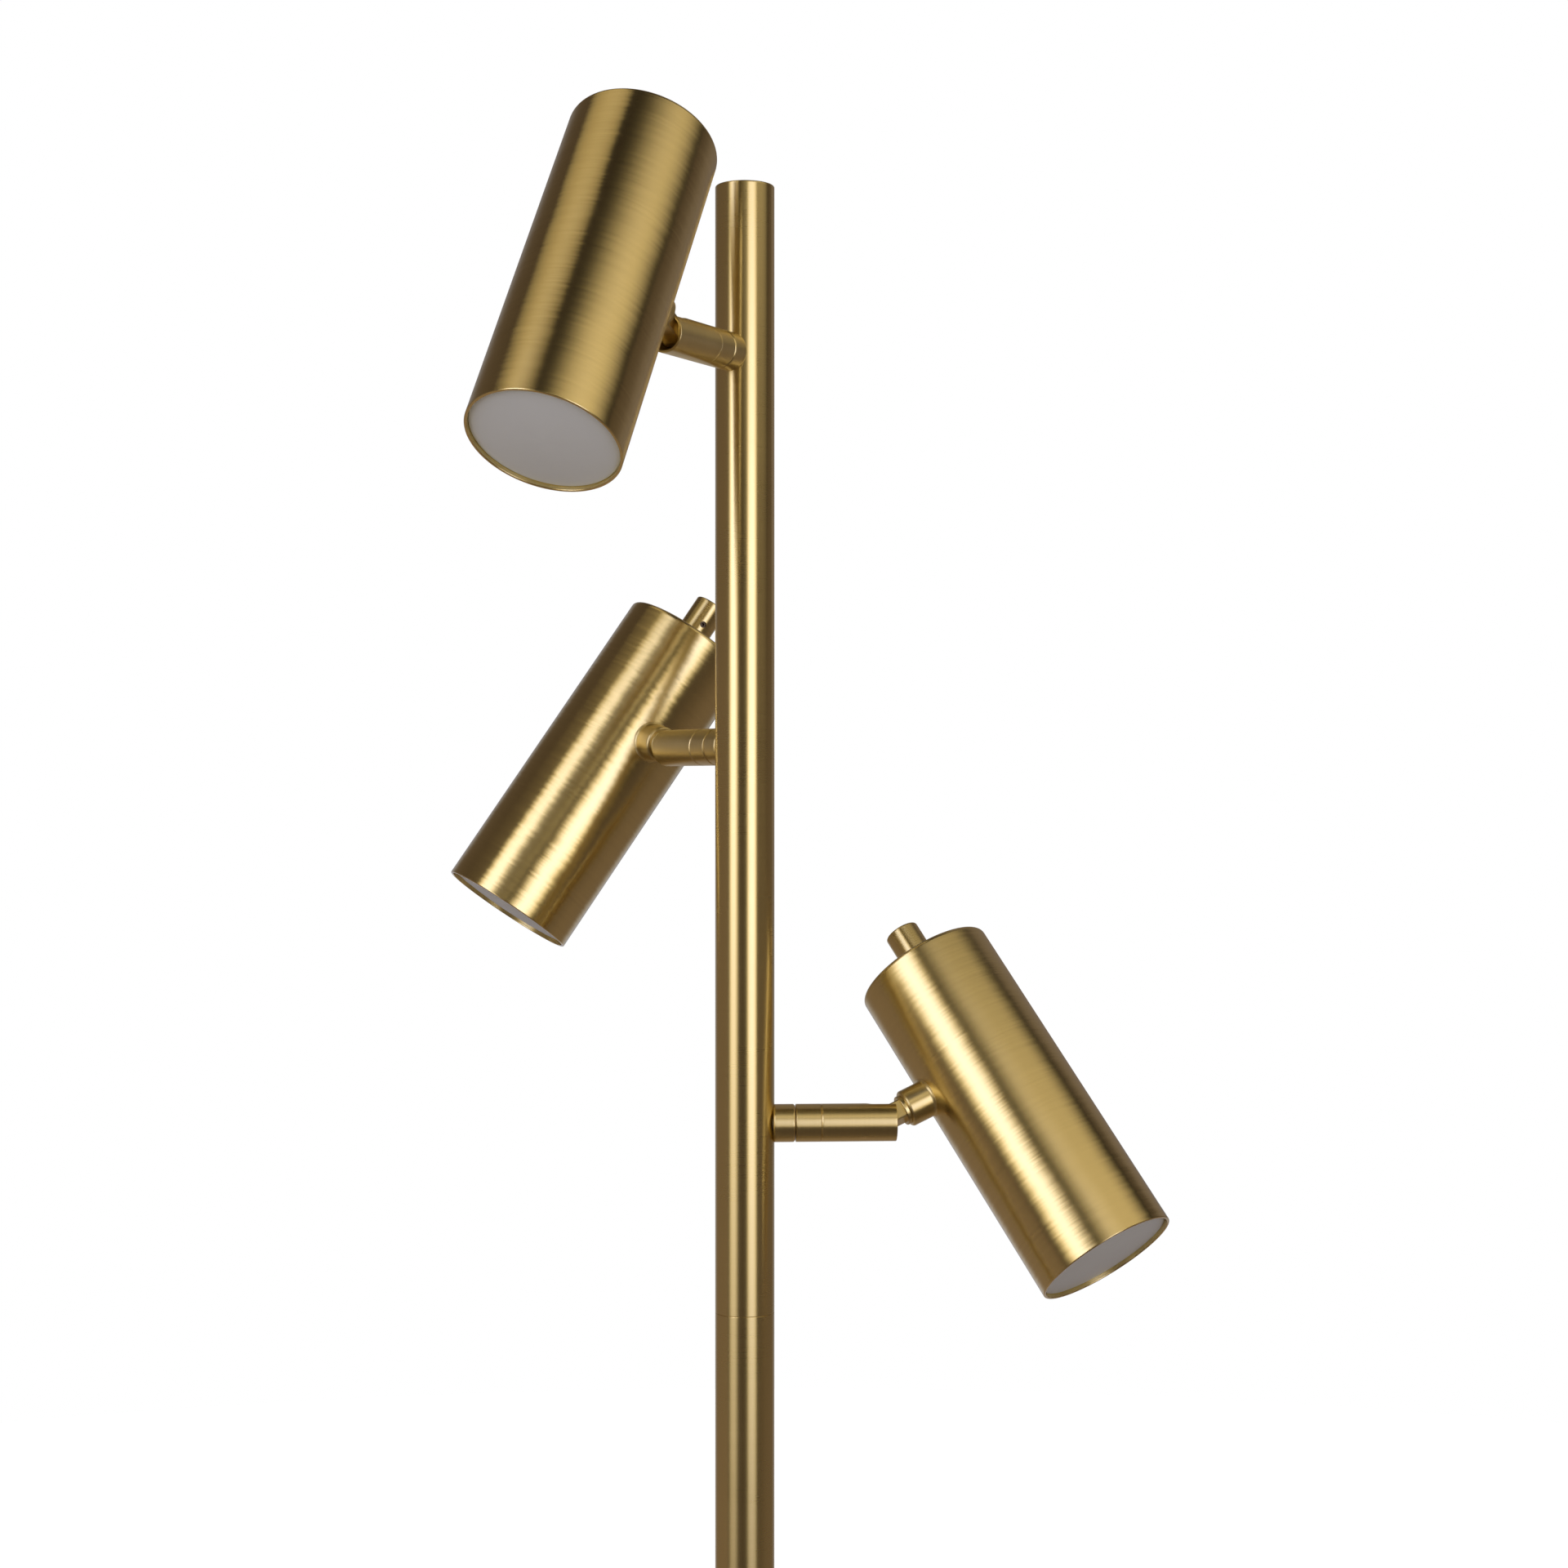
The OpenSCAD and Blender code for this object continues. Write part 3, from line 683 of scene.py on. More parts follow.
def opal_material():
    """Opal plastic: matt, with faint moulding drift and a fine even grain."""
    finish = prop("lamp_finish")
    drift_per_metre, grains_per_metre = 30.0, 1600.0
    lift, depth = 0.15, 0.01 * MM
    material, tree = new_material("Opal")
    grain = grain_of_piece(tree)
    drift = noise(tree, grain, drift_per_metre)
    tone = group(tree, tone_group, {
        "Base": opaque(finish.opal), "Worn and highlit": opaque(finish.opal), "Drift": drift, "Drift tone": 0.04,
        "Roughness": 0.42, "Drift roughness": 0.08})
    fine = noise(tree, grain, grains_per_metre)
    close_surface(tree, tone, {"IOR": 1.46, "Specular IOR Level": 0.35,
                               "Normal": bump(tree, lift, depth, fine)})
    return material


# Soft boxes

# Each box faces the pole at the height aim. Its azimuth counts in degrees from the camera's side to the
# viewer's right, and its elevation from the level of aim. Its strength is light_share of the studio's light.
# It is full up to full_share of its half width. From there it fades to its edge, and from its core's colour
# to a warm one.
PANEL_CORE = (1.0, 1.03, 1.48)
PANEL_EDGE = (1.0, 0.86, 0.65)
PANELS = (
    {"name": "left_strip", "light": "left", "light_share": 1.0, "azimuth": -44.2, "elevation": 0.0,
     "distance": 1.45, "aim": 1.72, "size": (1.25, 2.73), "core": PANEL_CORE, "full_share": 0.22},
    {"name": "right_box", "light": "right", "light_share": 1.0, "azimuth": 28.4, "elevation": 0.0,
     "distance": 1.45, "aim": 1.28, "size": (1.27, 1.65), "core": PANEL_CORE, "full_share": 0.27},
    {"name": "top_right_box", "light": "top", "light_share": 1.0, "azimuth": 45.4, "elevation": 39.7,
     "distance": 1.7, "aim": 1.2, "size": (4.95, 1.82), "core": (1.17, 1.0, 0.73), "full_share": 0.22},
    {"name": "top_left_box", "light": "top", "light_share": 0.6, "azimuth": -85.9, "elevation": 65.2,
     "distance": 1.7, "aim": 1.2, "size": (1.29, 0.98), "core": (1.22, 1.0, 0.63), "full_share": 0.8},
    {"name": "rear_box", "light": "top", "light_share": 0.24, "azimuth": 155.7, "elevation": 34.5,
     "distance": 1.7, "aim": 1.2, "size": (1.86, 2.89), "core": (1.21, 1.0, 0.94), "full_share": 0.95},
)


# Operators

class LAMP_OT_stage(bpy.types.Operator):
    """Floor, backdrop, soft box lights and the camera at the photograph's angle"""
    bl_idname = "lamp.stage"
    bl_label = "Stage"

    def execute(self, context):
        studio = prop("lamp_studio")
        camera = bpy.data.cameras.new("camera")
        camera.lens = studio.lens
        camera.sensor_width = 36
        seat = bpy.data.objects.new("camera", camera)
        seat.location = studio.camera
        seat.rotation_euler = (math.pi / 2, 0, 0)
        context.scene.collection.objects.link(seat)
        context.scene.camera = seat
        context.scene.view_settings.view_transform = "Standard"
        self.floor(studio)
        self.backdrop(context)
        for panel in PANELS:
            self.soft_box(studio, **panel)
        return {"FINISHED"}

    def floor(self, studio):
        """A round floor, flat, with its rim just under it. It glows a little, and far from the lamp as much
        as the backdrop, so that its rim doesn't show."""
        columns = 128
        rim_width, rim_drop = 2 * MM, 4 * MM
        near_glow, far_glow = (0.32, 0.32, 0.33, 1), (1.0, 1.0, 1.0, 1)
        near_reach, far_share = 0.4, 0.7
        radii = np.array((studio.floor_radius, studio.floor_radius - rim_width))[:, None]
        rings = round_points(radii, ring_angles(columns), np.array((-rim_drop, 0.0))[:, None])
        mesh = bpy.data.meshes.new("floor")
        side = [(k, (k + 1) % columns, columns + (k + 1) % columns, columns + k) for k in range(columns)]
        top = tuple(range(columns, 2 * columns))
        mesh.from_pydata(rings.reshape(-1, 3).tolist(), [], side + [top])
        mesh.update()
        floor = bpy.data.objects.new("floor", mesh)
        material, tree = new_material("Floor")
        place = object_place(tree)
        grit = group(tree, grit_group, {"Place": place, "Grains per metre": 400.0})
        tone = group(tree, tone_group, {"Base": opaque(prop("lamp_finish").floor), "Drift": grit["Mask"],
                                        "Drift tone": 0.02, "Roughness": 0.55})
        reach = put(tree, "ShaderNodeVectorMath", {"operation": "LENGTH"}, {0: place}).outputs["Value"]
        far = smooth(tree, reach, near_reach, studio.floor_radius * far_share)
        close_surface(tree, tone, {"Specular IOR Level": 0.2, "Emission Strength": 1.0,
                                   "Emission Color": mixed(tree, far, near_glow, far_glow)})
        mesh.materials.append(material)
        floor.visible_glossy = False
        floor.visible_diffuse = False
        bpy.context.scene.collection.objects.link(floor)

    def slope(self, tree, way, across, up, up_squared):
        """How light the room is: one, plus shares of x, of z and of z squared, and never quite dark."""
        darkest = 0.1
        height = maths(tree, "MULTIPLY_ADD", maths(tree, "MULTIPLY", way[2], way[2]), up_squared, 1.0)
        height = maths(tree, "MULTIPLY_ADD", way[2], up, height)
        return maths(tree, "MAXIMUM", maths(tree, "MULTIPLY_ADD", way[0], across, height), darkest)

    def backdrop(self, context):
        """A white backdrop as the camera sees it, and for all other rays a dim warm room, lighter behind and
        darkest low in front."""
        front_colour, back_colour = (0.145, 0.109, 0.088), (0.321, 0.325, 0.394)
        low_front = Vector((0.13, -0.75, -0.65)).normalized()
        world = bpy.data.worlds.new("studio")
        context.scene.world = world
        world.use_nodes = True
        tree = world.node_tree
        tree.nodes.clear()
        look = put(tree, "ShaderNodeTexCoord").outputs["Generated"]
        way = put(tree, "ShaderNodeSeparateXYZ", None, {0: look}).outputs
        behind = smooth(tree, way[1], start=0.7, full=1.0)
        facing = put(tree, "ShaderNodeVectorMath", {"operation": "DOT_PRODUCT"}, {0: look, 1: low_front})
        shade = smooth(tree, facing.outputs["Value"], start=0.18, full=0.95, low=1.0, high=0.34)
        front = self.slope(tree, way, across=-0.19, up=-0.91, up_squared=0.0)
        front = maths(tree, "MULTIPLY", front, shade)
        back = self.slope(tree, way, across=-0.28, up=-0.95, up_squared=1.96)
        room = mixed(tree, behind, scaled(tree, front_colour, front), scaled(tree, back_colour, back))
        dim = put(tree, "ShaderNodeBackground", None, {"Color": room, "Strength": 1.0})
        white = put(tree, "ShaderNodeBackground", None, {"Color": (1, 1, 1, 1), "Strength": 1.0})
        seen = put(tree, "ShaderNodeLightPath").outputs["Is Camera Ray"]
        both = put(tree, "ShaderNodeMixShader", None, {0: seen, 1: dim.outputs[0], 2: white.outputs[0]})
        output = put(tree, "ShaderNodeOutputWorld")
        tree.links.new(both.outputs[0], output.inputs["Surface"])

    def soft_box(self, studio, name, light, light_share, azimuth, elevation, distance, aim, size, core,
                 full_share):
        """A glowing panel that only lights, and isn't seen. Its glow fades to all sides and is capped. Its
        tint follows the third power of the fade."""
        strongest, tint_power = 2.05, 3.0
        turn, rise = math.radians(azimuth), math.radians(elevation)
        way = Vector((math.sin(turn) * math.cos(rise), -math.cos(turn) * math.cos(rise), math.sin(rise)))
        target = Vector((0, 0, aim))
        spot = target + way * distance
        facing = (target - spot).to_track_quat("Z", "Y").to_matrix()
        half = ((-1, -1), (1, -1), (1, 1), (-1, 1))
        corners = [spot + facing @ Vector((a * size[0] / 2, b * size[1] / 2, 0)) for a, b in half]
        mesh = bpy.data.meshes.new(name)
        mesh.from_pydata(corners, [], [(0, 1, 2, 3)])
        layer = mesh.uv_layers.new(name="panel")
        layer.data.foreach_set("uv", np.array(half, float).ravel())
        mesh.update()
        panel = bpy.data.objects.new(name, mesh)
        material, tree = new_material(name)
        uv = put(tree, "ShaderNodeUVMap", {"uv_map": "panel"}).outputs[0]
        sides = put(tree, "ShaderNodeSeparateXYZ", None, {0: vectors(tree, "ABSOLUTE", uv)}).outputs
        fade = maths(tree, "MULTIPLY", *(smooth(tree, side, 1.0, full_share) for side in sides[:2]))
        tint = mixed(tree, maths(tree, "POWER", fade, tint_power), opaque(PANEL_EDGE), opaque(core))
        amount = maths(tree, "MULTIPLY", fade, getattr(studio, light) * light_share)
        amount = maths(tree, "MINIMUM", amount, strongest)
        close_material(tree, put(tree, "ShaderNodeEmission", None, {"Color": tint, "Strength": amount}))
        mesh.materials.append(material)
        panel.visible_camera = False
        panel.visible_shadow = False
        bpy.context.scene.collection.objects.link(panel)


class LAMP_OT_pole(bpy.types.Operator):
    """Three pole tubes and the flush cap in the top"""
    bl_idname = "lamp.pole"
    bl_label = "Pole"

    def execute(self, context):
        sizes = prop("lamp_pole")
        brass = brushed_brass("Pole brass", prop("lamp_finish").pole_roughness, spread=0.83, lean=0.0015,
                              round_per_metre=30.0, wave=0.003, line_tone=0.05)
        place = stand_frame()
        bore = POLE_R - sizes.wall
        section = (POLE_TOP - POLE_FOOT) / len(SECTIONS)
        for k, name in enumerate(SECTIONS):
            low = POLE_FOOT + k * section
            edge = sizes.top_edge if name == SECTIONS[-1] else sizes.seam_edge
            outline = ring_outline(bore, POLE_R, low, low + section, sizes.seam_edge, edge)
            tube = turned(name + "_pole_tube", outline, place, columns=192)
            finish_piece(tube, brass, "stand", "pole_brass", name + "_pole")
        cap = turned("top_cap_disc", self.cap_outline(sizes, bore - SEAT_GAP), place, closed=False)
        finish_piece(cap, brass, "stand", "pole_brass", "top_cap")
        return {"FINISHED"}

    def cap_outline(self, sizes, radius):
        """Outline of the cap from the middle of its underside round its skirt to the middle of its top."""
        underside, skirt_foot = POLE_TOP - sizes.cap_wall, POLE_TOP - sizes.cap_skirt
        bore = radius - sizes.cap_wall
        corners = ((underside, 0), (underside, bore), (skirt_foot, bore), (skirt_foot, radius),
                   (POLE_TOP, radius), (POLE_TOP, 0))
        radii = (0, BROAD_EDGE, SLIGHT_EDGE, SLIGHT_EDGE, EASED_EDGE, 0)
        return held(rounded(corners, radii), closed=False)


class LAMP_OT_base(bpy.types.Operator):
    """Spun base cover and the collar round the pole's foot"""
    bl_idname = "lamp.base"
    bl_label = "Base"

    def execute(self, context):
        sizes = prop("lamp_pole")
        brass = brushed_brass("Base brass", prop("lamp_finish").head_roughness, spread=0.9, lean=0.01,
                              round_per_metre=20.0)
        hole = sizes.stem_radius + STEM_GAP
        cover = turned("spun_base_cover", self.cover_outline(sizes, hole), stand_frame(), columns=256)
        finish_piece(cover, brass, "stand", "base_brass", "base_cover")
        collar = turned("foot_collar_ring", self.collar_outline(sizes, hole), stand_frame(), columns=160)
        finish_piece(collar, brass, "stand", "base_brass", "foot_collar")
        return {"FINISHED"}

    def cover_outline(self, sizes, hole):
        """Outline of a spun shell, open below, with the stem's hole in its top."""
        bore, inner_top = BASE_R - sizes.cover_wall, BASE_TOP - sizes.cover_wall
        corners = ((BASE_LOW, bore), (BASE_LOW, BASE_R), (BASE_TOP, BASE_R), (BASE_TOP, hole),
                   (inner_top, hole), (inner_top, bore))
        radii = (SLIGHT_EDGE, SOFT_EDGE, sizes.cover_edge, SLIGHT_EDGE, SLIGHT_EDGE,
                 sizes.cover_edge - sizes.cover_wall)
        return held(rounded(corners, radii, steps=13), hold=BASE_HOLD)

    def collar_outline(self, sizes, hole):
        """Outline of the foot collar: the stem's hole below, and above it a seat round the pole's foot."""
        seat = POLE_R + SEAT_GAP
        corners = ((BASE_TOP, hole), (BASE_TOP, FOOT_R), (FOOT_TOP, FOOT_R), (FOOT_TOP, seat),
                   (POLE_FOOT, seat), (POLE_FOOT, hole))
        radii = (CRISP_EDGE, EASED_EDGE, sizes.foot_edge, SLIGHT_EDGE, CRISP_EDGE, CRISP_EDGE)
        return held(rounded(corners, radii))


class LAMP_OT_arms(bpy.types.Operator):
    """Fixed collars, turning rings and slotted arm tubes"""
    bl_idname = "lamp.arms"
    bl_label = "Arms"

    def execute(self, context):
        sizes = prop("lamp_arms")
        brass = brushed_brass("Arm brass", prop("lamp_finish").arm_roughness, spread=0.8, lean=0.004,
                              round_per_metre=60.0, wave=0.004, line_tone=0.08)
        collars = []
        for head in HEADS:
            collars.append(self.collar(head, sizes))
            ring = turned(head + "_turning_ring", self.ring_section(sizes), arm_frame(head), columns=128)
            finish_piece(ring, brass, head + "_arm", "arm_brass", head + "_swivel_ring")
            tube = self.tube(head, sizes)
            finish_piece(tube, brass, head + "_arm", "arm_brass", head + "_arm_tube")
        finish_piece(joined("fixed_collars", collars), brass, "stand", "arm_brass", "arm_collars")
        return {"FINISHED"}

    def collar(self, head, sizes):
        """A turned ring whose inner end is pushed out to the pole's surface wherever it would lie inside it:
        z is at least the square root of the pole's radius squared less x squared. Its inner end has some rows
        more for that."""
        fill_rows = 8
        end = RING_IN - RING_GAP
        start = end - sizes.collar_length
        outline = ring_outline(sizes.bolt_radius, ARM_R, start, end, sizes.collar_edge, sizes.collar_edge)
        inner_rows = np.nonzero(np.abs(outline[:, 0] - start) < NEAR)[0]
        low, high = outline[inner_rows, 1].min(), outline[inner_rows, 1].max()
        steps = np.linspace(0, 1, fill_rows + 2)[1:-1, None]
        fill = np.hstack((start + 0 * steps, low + (high - low) * steps))
        after = int(inner_rows.min()) + 1
        outline = np.vstack((outline[:after], fill, outline[after:]))
        grid, around, along = carried(outline, columns=160)
        surface = np.sqrt(np.maximum((POLE_R + SEAT_GAP) ** 2 - grid[..., 0] ** 2, 0))
        grid[..., 2] = np.maximum(grid[..., 2], surface)
        return skin("collar_" + head, grid, around, along, collar_frame(head))

    def ring_section(self, sizes):
        """Outline of the turning ring: a bore on the bolt, then the wider cup."""
        bore = sizes.bolt_radius + TURNING_GAP
        shelf = RING_IN + sizes.shoulder
        corners = ((RING_IN, bore), (RING_IN, ARM_R), (RING_OUT, ARM_R), (RING_OUT, sizes.cup_radius),
                   (shelf, sizes.cup_radius), (shelf, bore))
        radii = (SLIGHT_EDGE, BROAD_EDGE, EASED_EDGE, CRISP_EDGE, CRISP_EDGE, SLIGHT_EDGE)
        return held(rounded(corners, radii))

    def mouth(self, radius, sizes):
        """The arm tube's end as angles and heights: half the slot's closed end, its corner, its side, then
        the open mouth to the far side and back. A slot point at sideways distance y is at the angle
        asin(y / radius)."""
        flat_points, corner_points, side_points, lip_points, rest_points = 4, 10, 11, 4, 55
        lip = BROAD_EDGE
        corner = np.linspace(math.pi, math.pi / 2, corner_points)
        flat_y = np.linspace(0, sizes.slot_half - sizes.slot_corner, flat_points + 1)[:-1]
        corner_y = sizes.slot_half - sizes.slot_corner + sizes.slot_corner * np.sin(corner)
        corner_z = sizes.slot_start + sizes.slot_corner * (1 + np.cos(corner))
        side_z = np.linspace(corner_z[-1], ARM_REACH - lip, side_points + 1)[1:]
        bend = np.linspace(0, math.pi / 2, lip_points + 1)[1:]
        lip_y = sizes.slot_half + lip * (1 - np.cos(bend))
        lip_z = ARM_REACH - lip + lip * np.sin(bend)
        slot_y = np.concatenate((flat_y, corner_y, np.full(side_points, sizes.slot_half), lip_y))
        slot_z = np.concatenate((np.full(flat_points, sizes.slot_start), corner_z, side_z, lip_z))
        slot_angle = np.arcsin(slot_y / radius)
        rest = np.linspace(slot_angle[-1], math.pi, rest_points + 1)[1:]
        half_angle = np.concatenate((slot_angle, rest))
        half_z = np.concatenate((slot_z, np.full(rest_points, ARM_REACH)))
        angle = np.concatenate((half_angle, 2 * math.pi - half_angle[-2:0:-1]))
        return angle, np.concatenate((half_z, half_z[-2:0:-1]))

    def tube(self, head, sizes):
        """A tube whose rows run straight from its inner end to the slotted mouth, outside and then back
        inside. A point's angle and height are the two ends' mixed by its row's share, at the row's radius. At
        the inner end the columns are spaced by their steps round the mouth and a share of their steps in
        height."""
        rows, lip_rows = 30, 4
        height_share = 0.25
        edge = sizes.mouth_edge
        bore = ARM_R - sizes.tube_wall
        outer_end, heights = self.mouth(ARM_R, sizes)
        inner_end = self.mouth(bore, sizes)[0]
        turn_steps = np.abs(np.diff(outer_end, append=2 * math.pi))
        height_steps = np.abs(np.diff(heights, append=heights[0]))
        weight = turn_steps + height_share * height_steps / ARM_R
        base = np.concatenate(((0,), np.cumsum(weight)[:-1])) / weight.sum() * 2 * math.pi
        bend = np.linspace(0, math.pi / 2, lip_rows + 1)[1:]
        rise = np.linspace(0, 1, rows)[:, None]
        reach = (heights - TUBE_IN)[None]
        out_share = np.minimum(rise, 1 - edge / reach)
        lip_share = 1 - edge * (1 - np.sin(bend))[:, None] / reach
        in_share = np.minimum(rise[::-1], 1 - CRISP_EDGE / reach)
        shares = np.vstack((out_share, lip_share, in_share))
        lip_radii = ARM_R - edge * (1 - np.cos(bend))
        radii = np.concatenate((np.full(rows, ARM_R), lip_radii, np.full(rows, bore)))[:, None]
        lip_inside = np.linspace(0, edge / sizes.tube_wall, lip_rows + 1)[1:]
        inside = np.concatenate((np.zeros(rows), lip_inside, np.ones(rows)))[:, None]
        ends = outer_end * (1 - inside) + inner_end * inside
        angle = base * (1 - shares) + ends * shares
        z = TUBE_IN + (heights - TUBE_IN) * shares
        grid = np.stack((radii * np.sin(angle), radii * np.cos(angle), z), -1)
        return skin(head + "_slotted_tube", grid, angle * ARM_R, z, arm_frame(head))


class LAMP_OT_heads(bpy.types.Operator):
    """Shades, bosses and opal diffusers"""
    bl_idname = "lamp.heads"
    bl_label = "Heads"

    def execute(self, context):
        sizes = prop("lamp_heads")
        arms = prop("lamp_arms")
        finish = prop("lamp_finish")
        brass = brushed_brass("Head brass", finish.head_roughness, spread=0.84, lean=0.07,
                              round_per_metre=25.0, wave=0.055, line_tone=0.18)
        turned_brass = brushed_brass("Boss brass", finish.arm_roughness, spread=0.8, lean=0.006,
                                     round_per_metre=60.0, wave=0.004, line_tone=0.08)
        opal = opal_material()
        for head in HEADS:
            body = head + "_head"
            shell = turned(head + "_shade_shell", self.shell_outline(sizes), shade_frame(head), columns=256)
            finish_piece(shell, brass, body, "head_brass", head + "_shade")
            finish_piece(self.boss(head, arms), turned_brass, body, "arm_brass", head + "_boss")
            dome = turned(head + "_opal_diffuser", self.dome_outline(sizes), shade_frame(head), columns=192,
                          closed=False)
            finish_piece(dome, opal, body, "opal", head + "_diffuser")
        return {"FINISHED"}

    def shell_outline(self, sizes):
        """Outline of a drawn shell: closed end with the bush's hole, side wall and rolled rim."""
        bore = HEAD_R - sizes.wall
        floor = HEAD_BACK - sizes.wall
        corners = ((HEAD_OPEN, bore), (HEAD_OPEN, HEAD_R), (HEAD_BACK, HEAD_R), (HEAD_BACK, sizes.bush_hole),
                   (floor, sizes.bush_hole), (floor, bore))
        radii = (SOFT_EDGE, sizes.rim_edge, sizes.back_edge, SLIGHT_EDGE, CRISP_EDGE,
                 sizes.back_edge - sizes.wall / 2)
        return held(rounded(corners, radii, steps=9))

    def dome_outline(self, sizes):
        """Outline of a diffuser from its dome's middle outside to the same inside: the dome is an arc of a
        circle that rises by its rise over its radius, and a broken edge leads from it to the skirt."""
        outer_rows, inner_rows = 28, 20
        broken_rise = 0.06 * MM
        foot = DIFFUSER_LOW + sizes.dome_rise
        ball = (DIFFUSER_R ** 2 + sizes.dome_rise ** 2) / (2 * sizes.dome_rise)
        centre = DIFFUSER_LOW + ball
        lean = np.linspace(0, math.asin((DIFFUSER_R - SOFT_EDGE) / ball), outer_rows)
        outside = np.stack((centre - ball * np.cos(lean), ball * np.sin(lean)), 1)
        bore = DIFFUSER_R - sizes.skirt_wall
        inner_ball = ball - sizes.dome_wall
        lean_in = np.linspace(math.asin(bore / inner_ball), 0, inner_rows)
        inside = np.stack((centre - inner_ball * np.cos(lean_in), inner_ball * np.sin(lean_in)), 1)
        skirt = ((foot + broken_rise, DIFFUSER_R - CRISP_EDGE), (foot + SLIGHT_EDGE, DIFFUSER_R),
                 (DIFFUSER_TOP - SOFT_EDGE, DIFFUSER_R), (DIFFUSER_TOP, DIFFUSER_R - SOFT_EDGE),
                 (DIFFUSER_TOP, bore))
        return np.vstack((outside, skirt, inside))

    def boss(self, head, sizes):
        """A round boss that flares onto the shade. A point h above the shade's surface stands out from the
        boss by the fillet less the square root of its square less (fillet - h) squared. The boss's foot is
        sunk in the shade's wall."""
        columns, steps = 160, 9
        row_shares = (0.015, 0.97)
        sunk_depth, sunk_rim = 0.4 * MM, 1 * MM
        fillet, stud = sizes.boss_fillet, sizes.stud_radius
        corners = ((BOSS_FACE, stud), (BOSS_FACE, ARM_R), (HEAD_X, ARM_R), (HEAD_X, stud))
        front = rounded(corners, (FINE_EDGE, sizes.boss_edge, 0, 0), steps)[:2 * steps]
        angle = ring_angles(columns)
        sweep = np.linspace(0, math.pi / 2, steps)[:, None]
        flare_r = ARM_R + fillet * (1 - np.cos(sweep)) + 0 * angle
        flare_z = self.shade_surface(flare_r, angle) - fillet * (1 - np.sin(sweep))
        sunk_r = np.array((ARM_R, stud + sunk_rim, stud))[:, None] + 0 * angle
        sunk_z = self.shade_surface(sunk_r, angle) + sunk_depth
        face = round_points(front[:, 1:], angle, front[:, :1])
        flare = round_points(flare_r, angle, flare_z)
        side = [face[-1:] * (1 - part) + flare[:1] * part for part in row_shares]
        grid = np.concatenate((face, *side, flare, round_points(sunk_r, angle, sunk_z)))
        along = path_length(np.linalg.norm(np.diff(grid, axis=0), axis=2).mean(1), columns)
        return skin(head + "_round_boss", grid, angle * ARM_R + 0 * along, along, boss_frame(head))

    def shade_surface(self, radius, angle):
        """The shade's surface over points of the boss: at sideways distance x it lies at its axis less the
        square root of its radius squared less x squared."""
        return HEAD_X - np.sqrt(HEAD_R ** 2 - (radius * np.cos(angle)) ** 2)


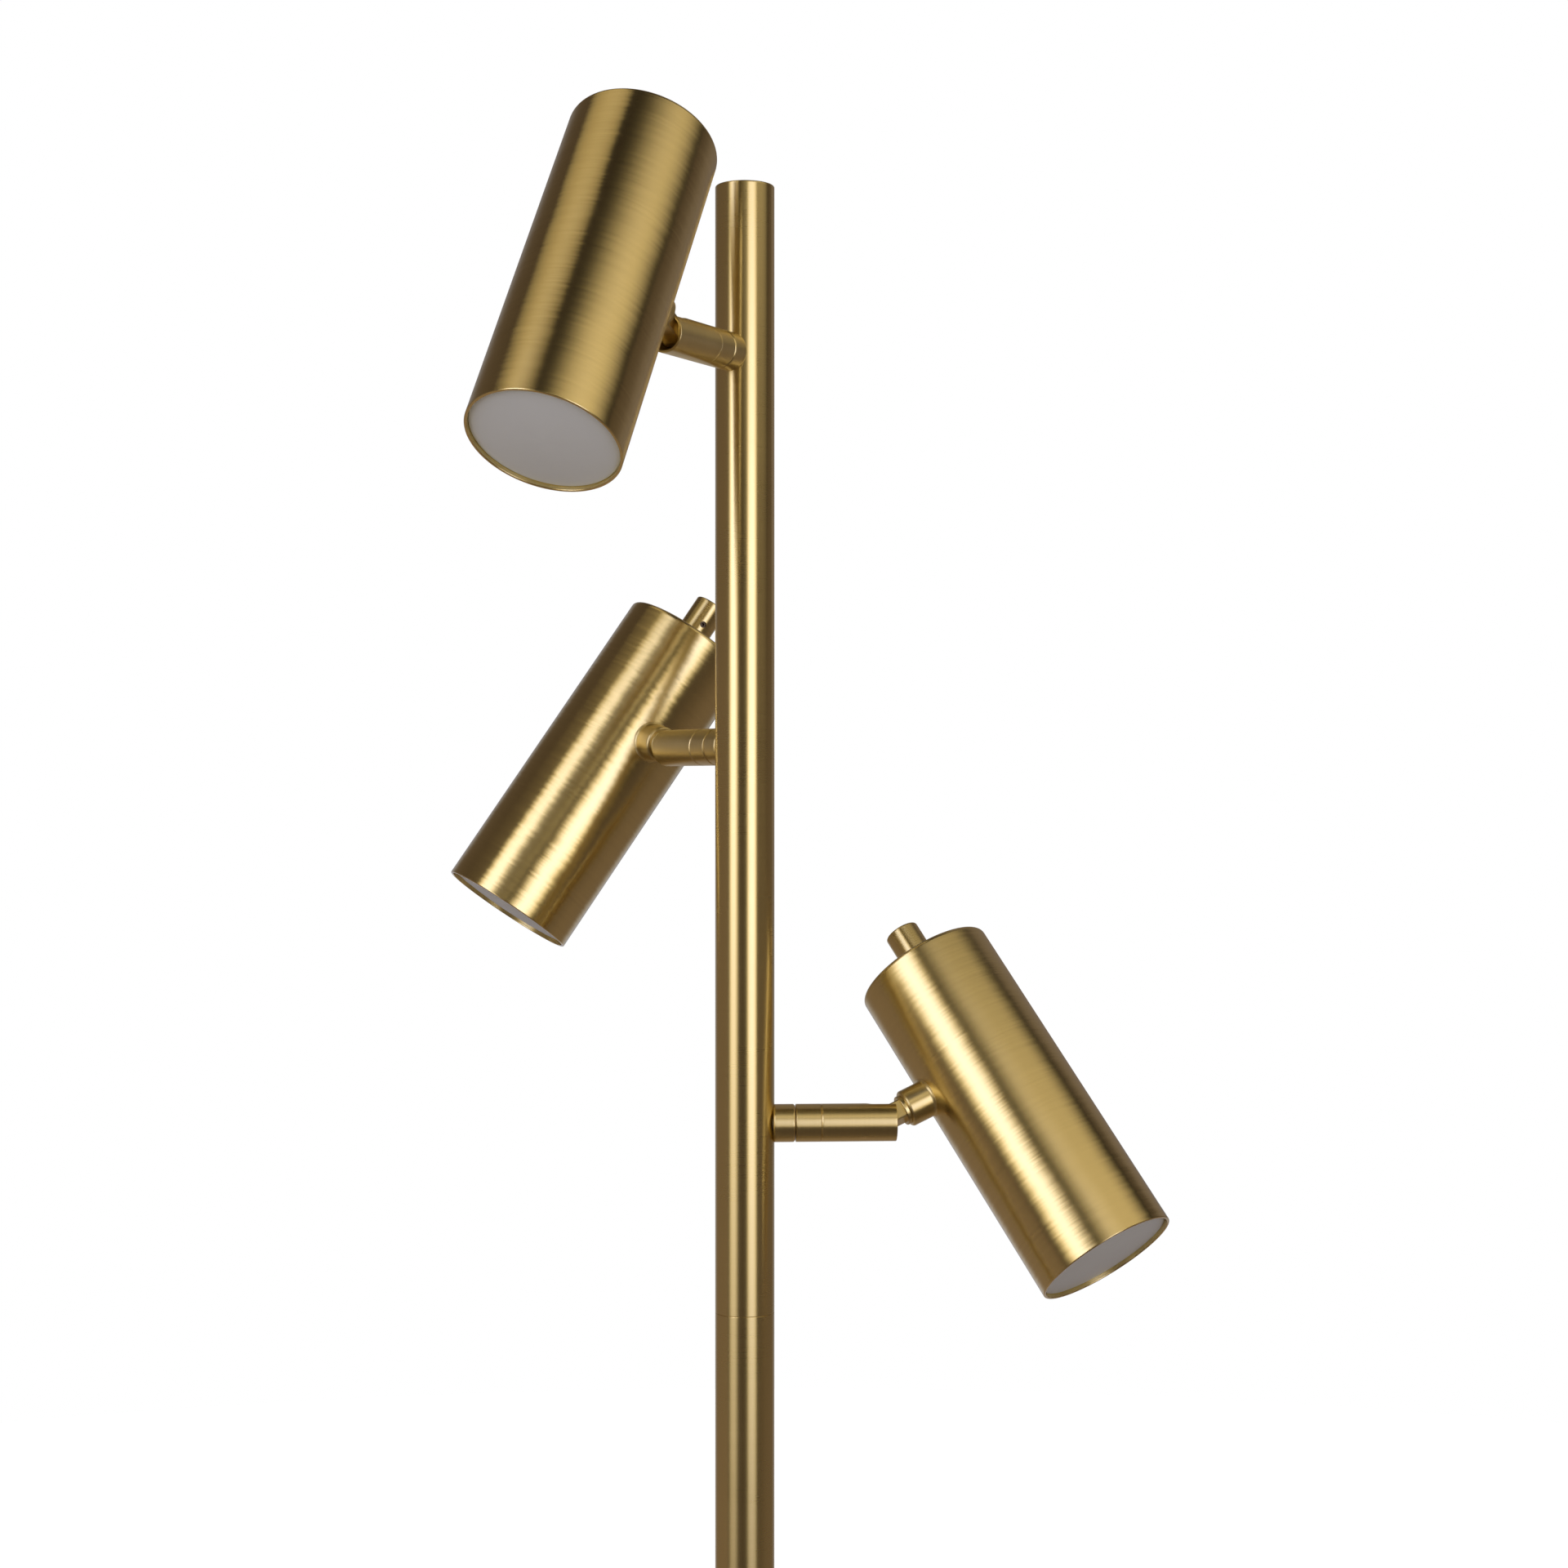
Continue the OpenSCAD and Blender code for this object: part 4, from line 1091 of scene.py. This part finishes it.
class LAMP_OT_carried(bpy.types.Operator):
    """Finishes of the pieces that are carried over from the frame"""
    bl_idname = "lamp.carried"
    bl_label = "Carried-over pieces"

    def execute(self, context):
        finish = prop("lamp_finish")
        steel = plain_finish("Zinc plated steel", (0.56, 0.56, 0.55), 0.34, metallic=1.0, grains=700.0)
        turned_brass = plain_finish("Turned brass", finish.brass, 0.3, metallic=1.0, grains=1400.0,
                                    lift=0.08)
        looks = {
            "base_pad": plain_finish("Felt", (0.035, 0.035, 0.04), 0.95, grains=1800.0, lift=1.0, tone=0.5,
                                     depth=0.3 * MM),
            "base_weight": plain_finish("Painted iron", (0.03, 0.03, 0.033), 0.55, grains=500.0, lift=0.6,
                                        tone=0.2, depth=0.1 * MM),
            "base_nut": steel,
            "pole_stem": turned_brass,
            "pole_joiners": turned_brass,
            "cord_inlet": plain_finish("Black nylon", (0.02, 0.02, 0.021), 0.45, grains=1500.0, lift=0.3),
            "pole_cable": plain_finish("Cable sheath", (0.015, 0.015, 0.016), 0.5, grains=1500.0, lift=0.3),
            "swivel_bolts": steel,
        }
        shared = {
            "hinge_pins": steel,
            "fork": turned_brass,
            "lock_nuts": steel,
            "spindle": steel,
            "switch": plain_finish("Switch moulding", (0.025, 0.025, 0.026), 0.5, grains=1500.0, lift=0.3),
            "led_board": plain_finish("Board lacquer", (0.8, 0.8, 0.78), 0.4, grains=1200.0, tone=0.04),
            "heat_sink": plain_finish("Cast aluminium", (0.77, 0.77, 0.78), 0.45, metallic=1.0, lift=0.4),
            # The knob screw's steel is painted near black, as painted shade of the deep hole it sits in.
            "knob_screw": plain_finish("Steel with painted hole shade", (0.09, 0.068, 0.042), 0.4, metallic=1.0),
        }
        for node, material in looks.items():
            self.paint(node, material)
        for head in HEADS:
            for node, material in shared.items():
                self.paint(head + "_" + node, material)
            milled = lined_brass(head.capitalize() + " milled brass", boss_frame(head), 0.3,
                                 stretch=(300.0, 2200.0, 1800.0), lift=0.6, shade=0.93)
            self.paint(head + "_tongue", milled)
            knob = lined_brass(head.capitalize() + " knob brass", shade_frame(head), finish.pole_roughness,
                               stretch=(60.0, 60.0, 3200.0), lift=0.03, spread=0.9)
            self.paint(head + "_knob", knob)
        return {"FINISHED"}

    def paint(self, node, material):
        """Sets every material slot of a CAD node's object."""
        piece = frame["nodes"][node]
        if not piece.material_slots:
            piece.data.materials.append(material)
        for slot in piece.material_slots:
            slot.link = "OBJECT"
            slot.material = material


class LAMP_PT_pieces(bpy.types.Panel):
    """Lists the lamp's pieces"""
    bl_idname = "LAMP_PT_pieces"
    bl_label = "Lamp"
    bl_space_type = "VIEW_3D"
    bl_region_type = "UI"
    bl_category = "Lamp"

    def draw(self, context):
        for operator in OPERATORS:
            self.layout.operator(operator.bl_idname)
        for name in PROPERTY_GROUPS:
            values = getattr(context.scene, name)
            group_box = self.layout.box()
            for key in values.bl_rna.properties.keys():
                if key not in ("rna_type", "name"):
                    group_box.prop(values, key)


OPERATORS = (LAMP_OT_stage, LAMP_OT_pole, LAMP_OT_base, LAMP_OT_arms, LAMP_OT_heads, LAMP_OT_carried)
PROPERTY_GROUPS = {"lamp_pole": LampPoleSizes, "lamp_arms": LampArmSizes, "lamp_heads": LampHeadSizes,
                   "lamp_finish": LampFinish, "lamp_studio": LampStudio}


def register():
    """Adds the classes and the scene's property groups."""
    for item in (*PROPERTY_GROUPS.values(), *OPERATORS, LAMP_PT_pieces):
        bpy.utils.register_class(item)
    for name, kind in PROPERTY_GROUPS.items():
        setattr(bpy.types.Scene, name, bpy.props.PointerProperty(type=kind))


def unregister():
    """Takes them away again."""
    for name in PROPERTY_GROUPS:
        delattr(bpy.types.Scene, name)
    for item in (LAMP_PT_pieces, *reversed(OPERATORS), *reversed(tuple(PROPERTY_GROUPS.values()))):
        bpy.utils.unregister_class(item)


def main():
    """Builds the lamp."""
    register()
    for operator in OPERATORS:
        area, name = operator.bl_idname.split(".")
        getattr(getattr(bpy.ops, area), name)()


if __name__ == "__main__":
    main()
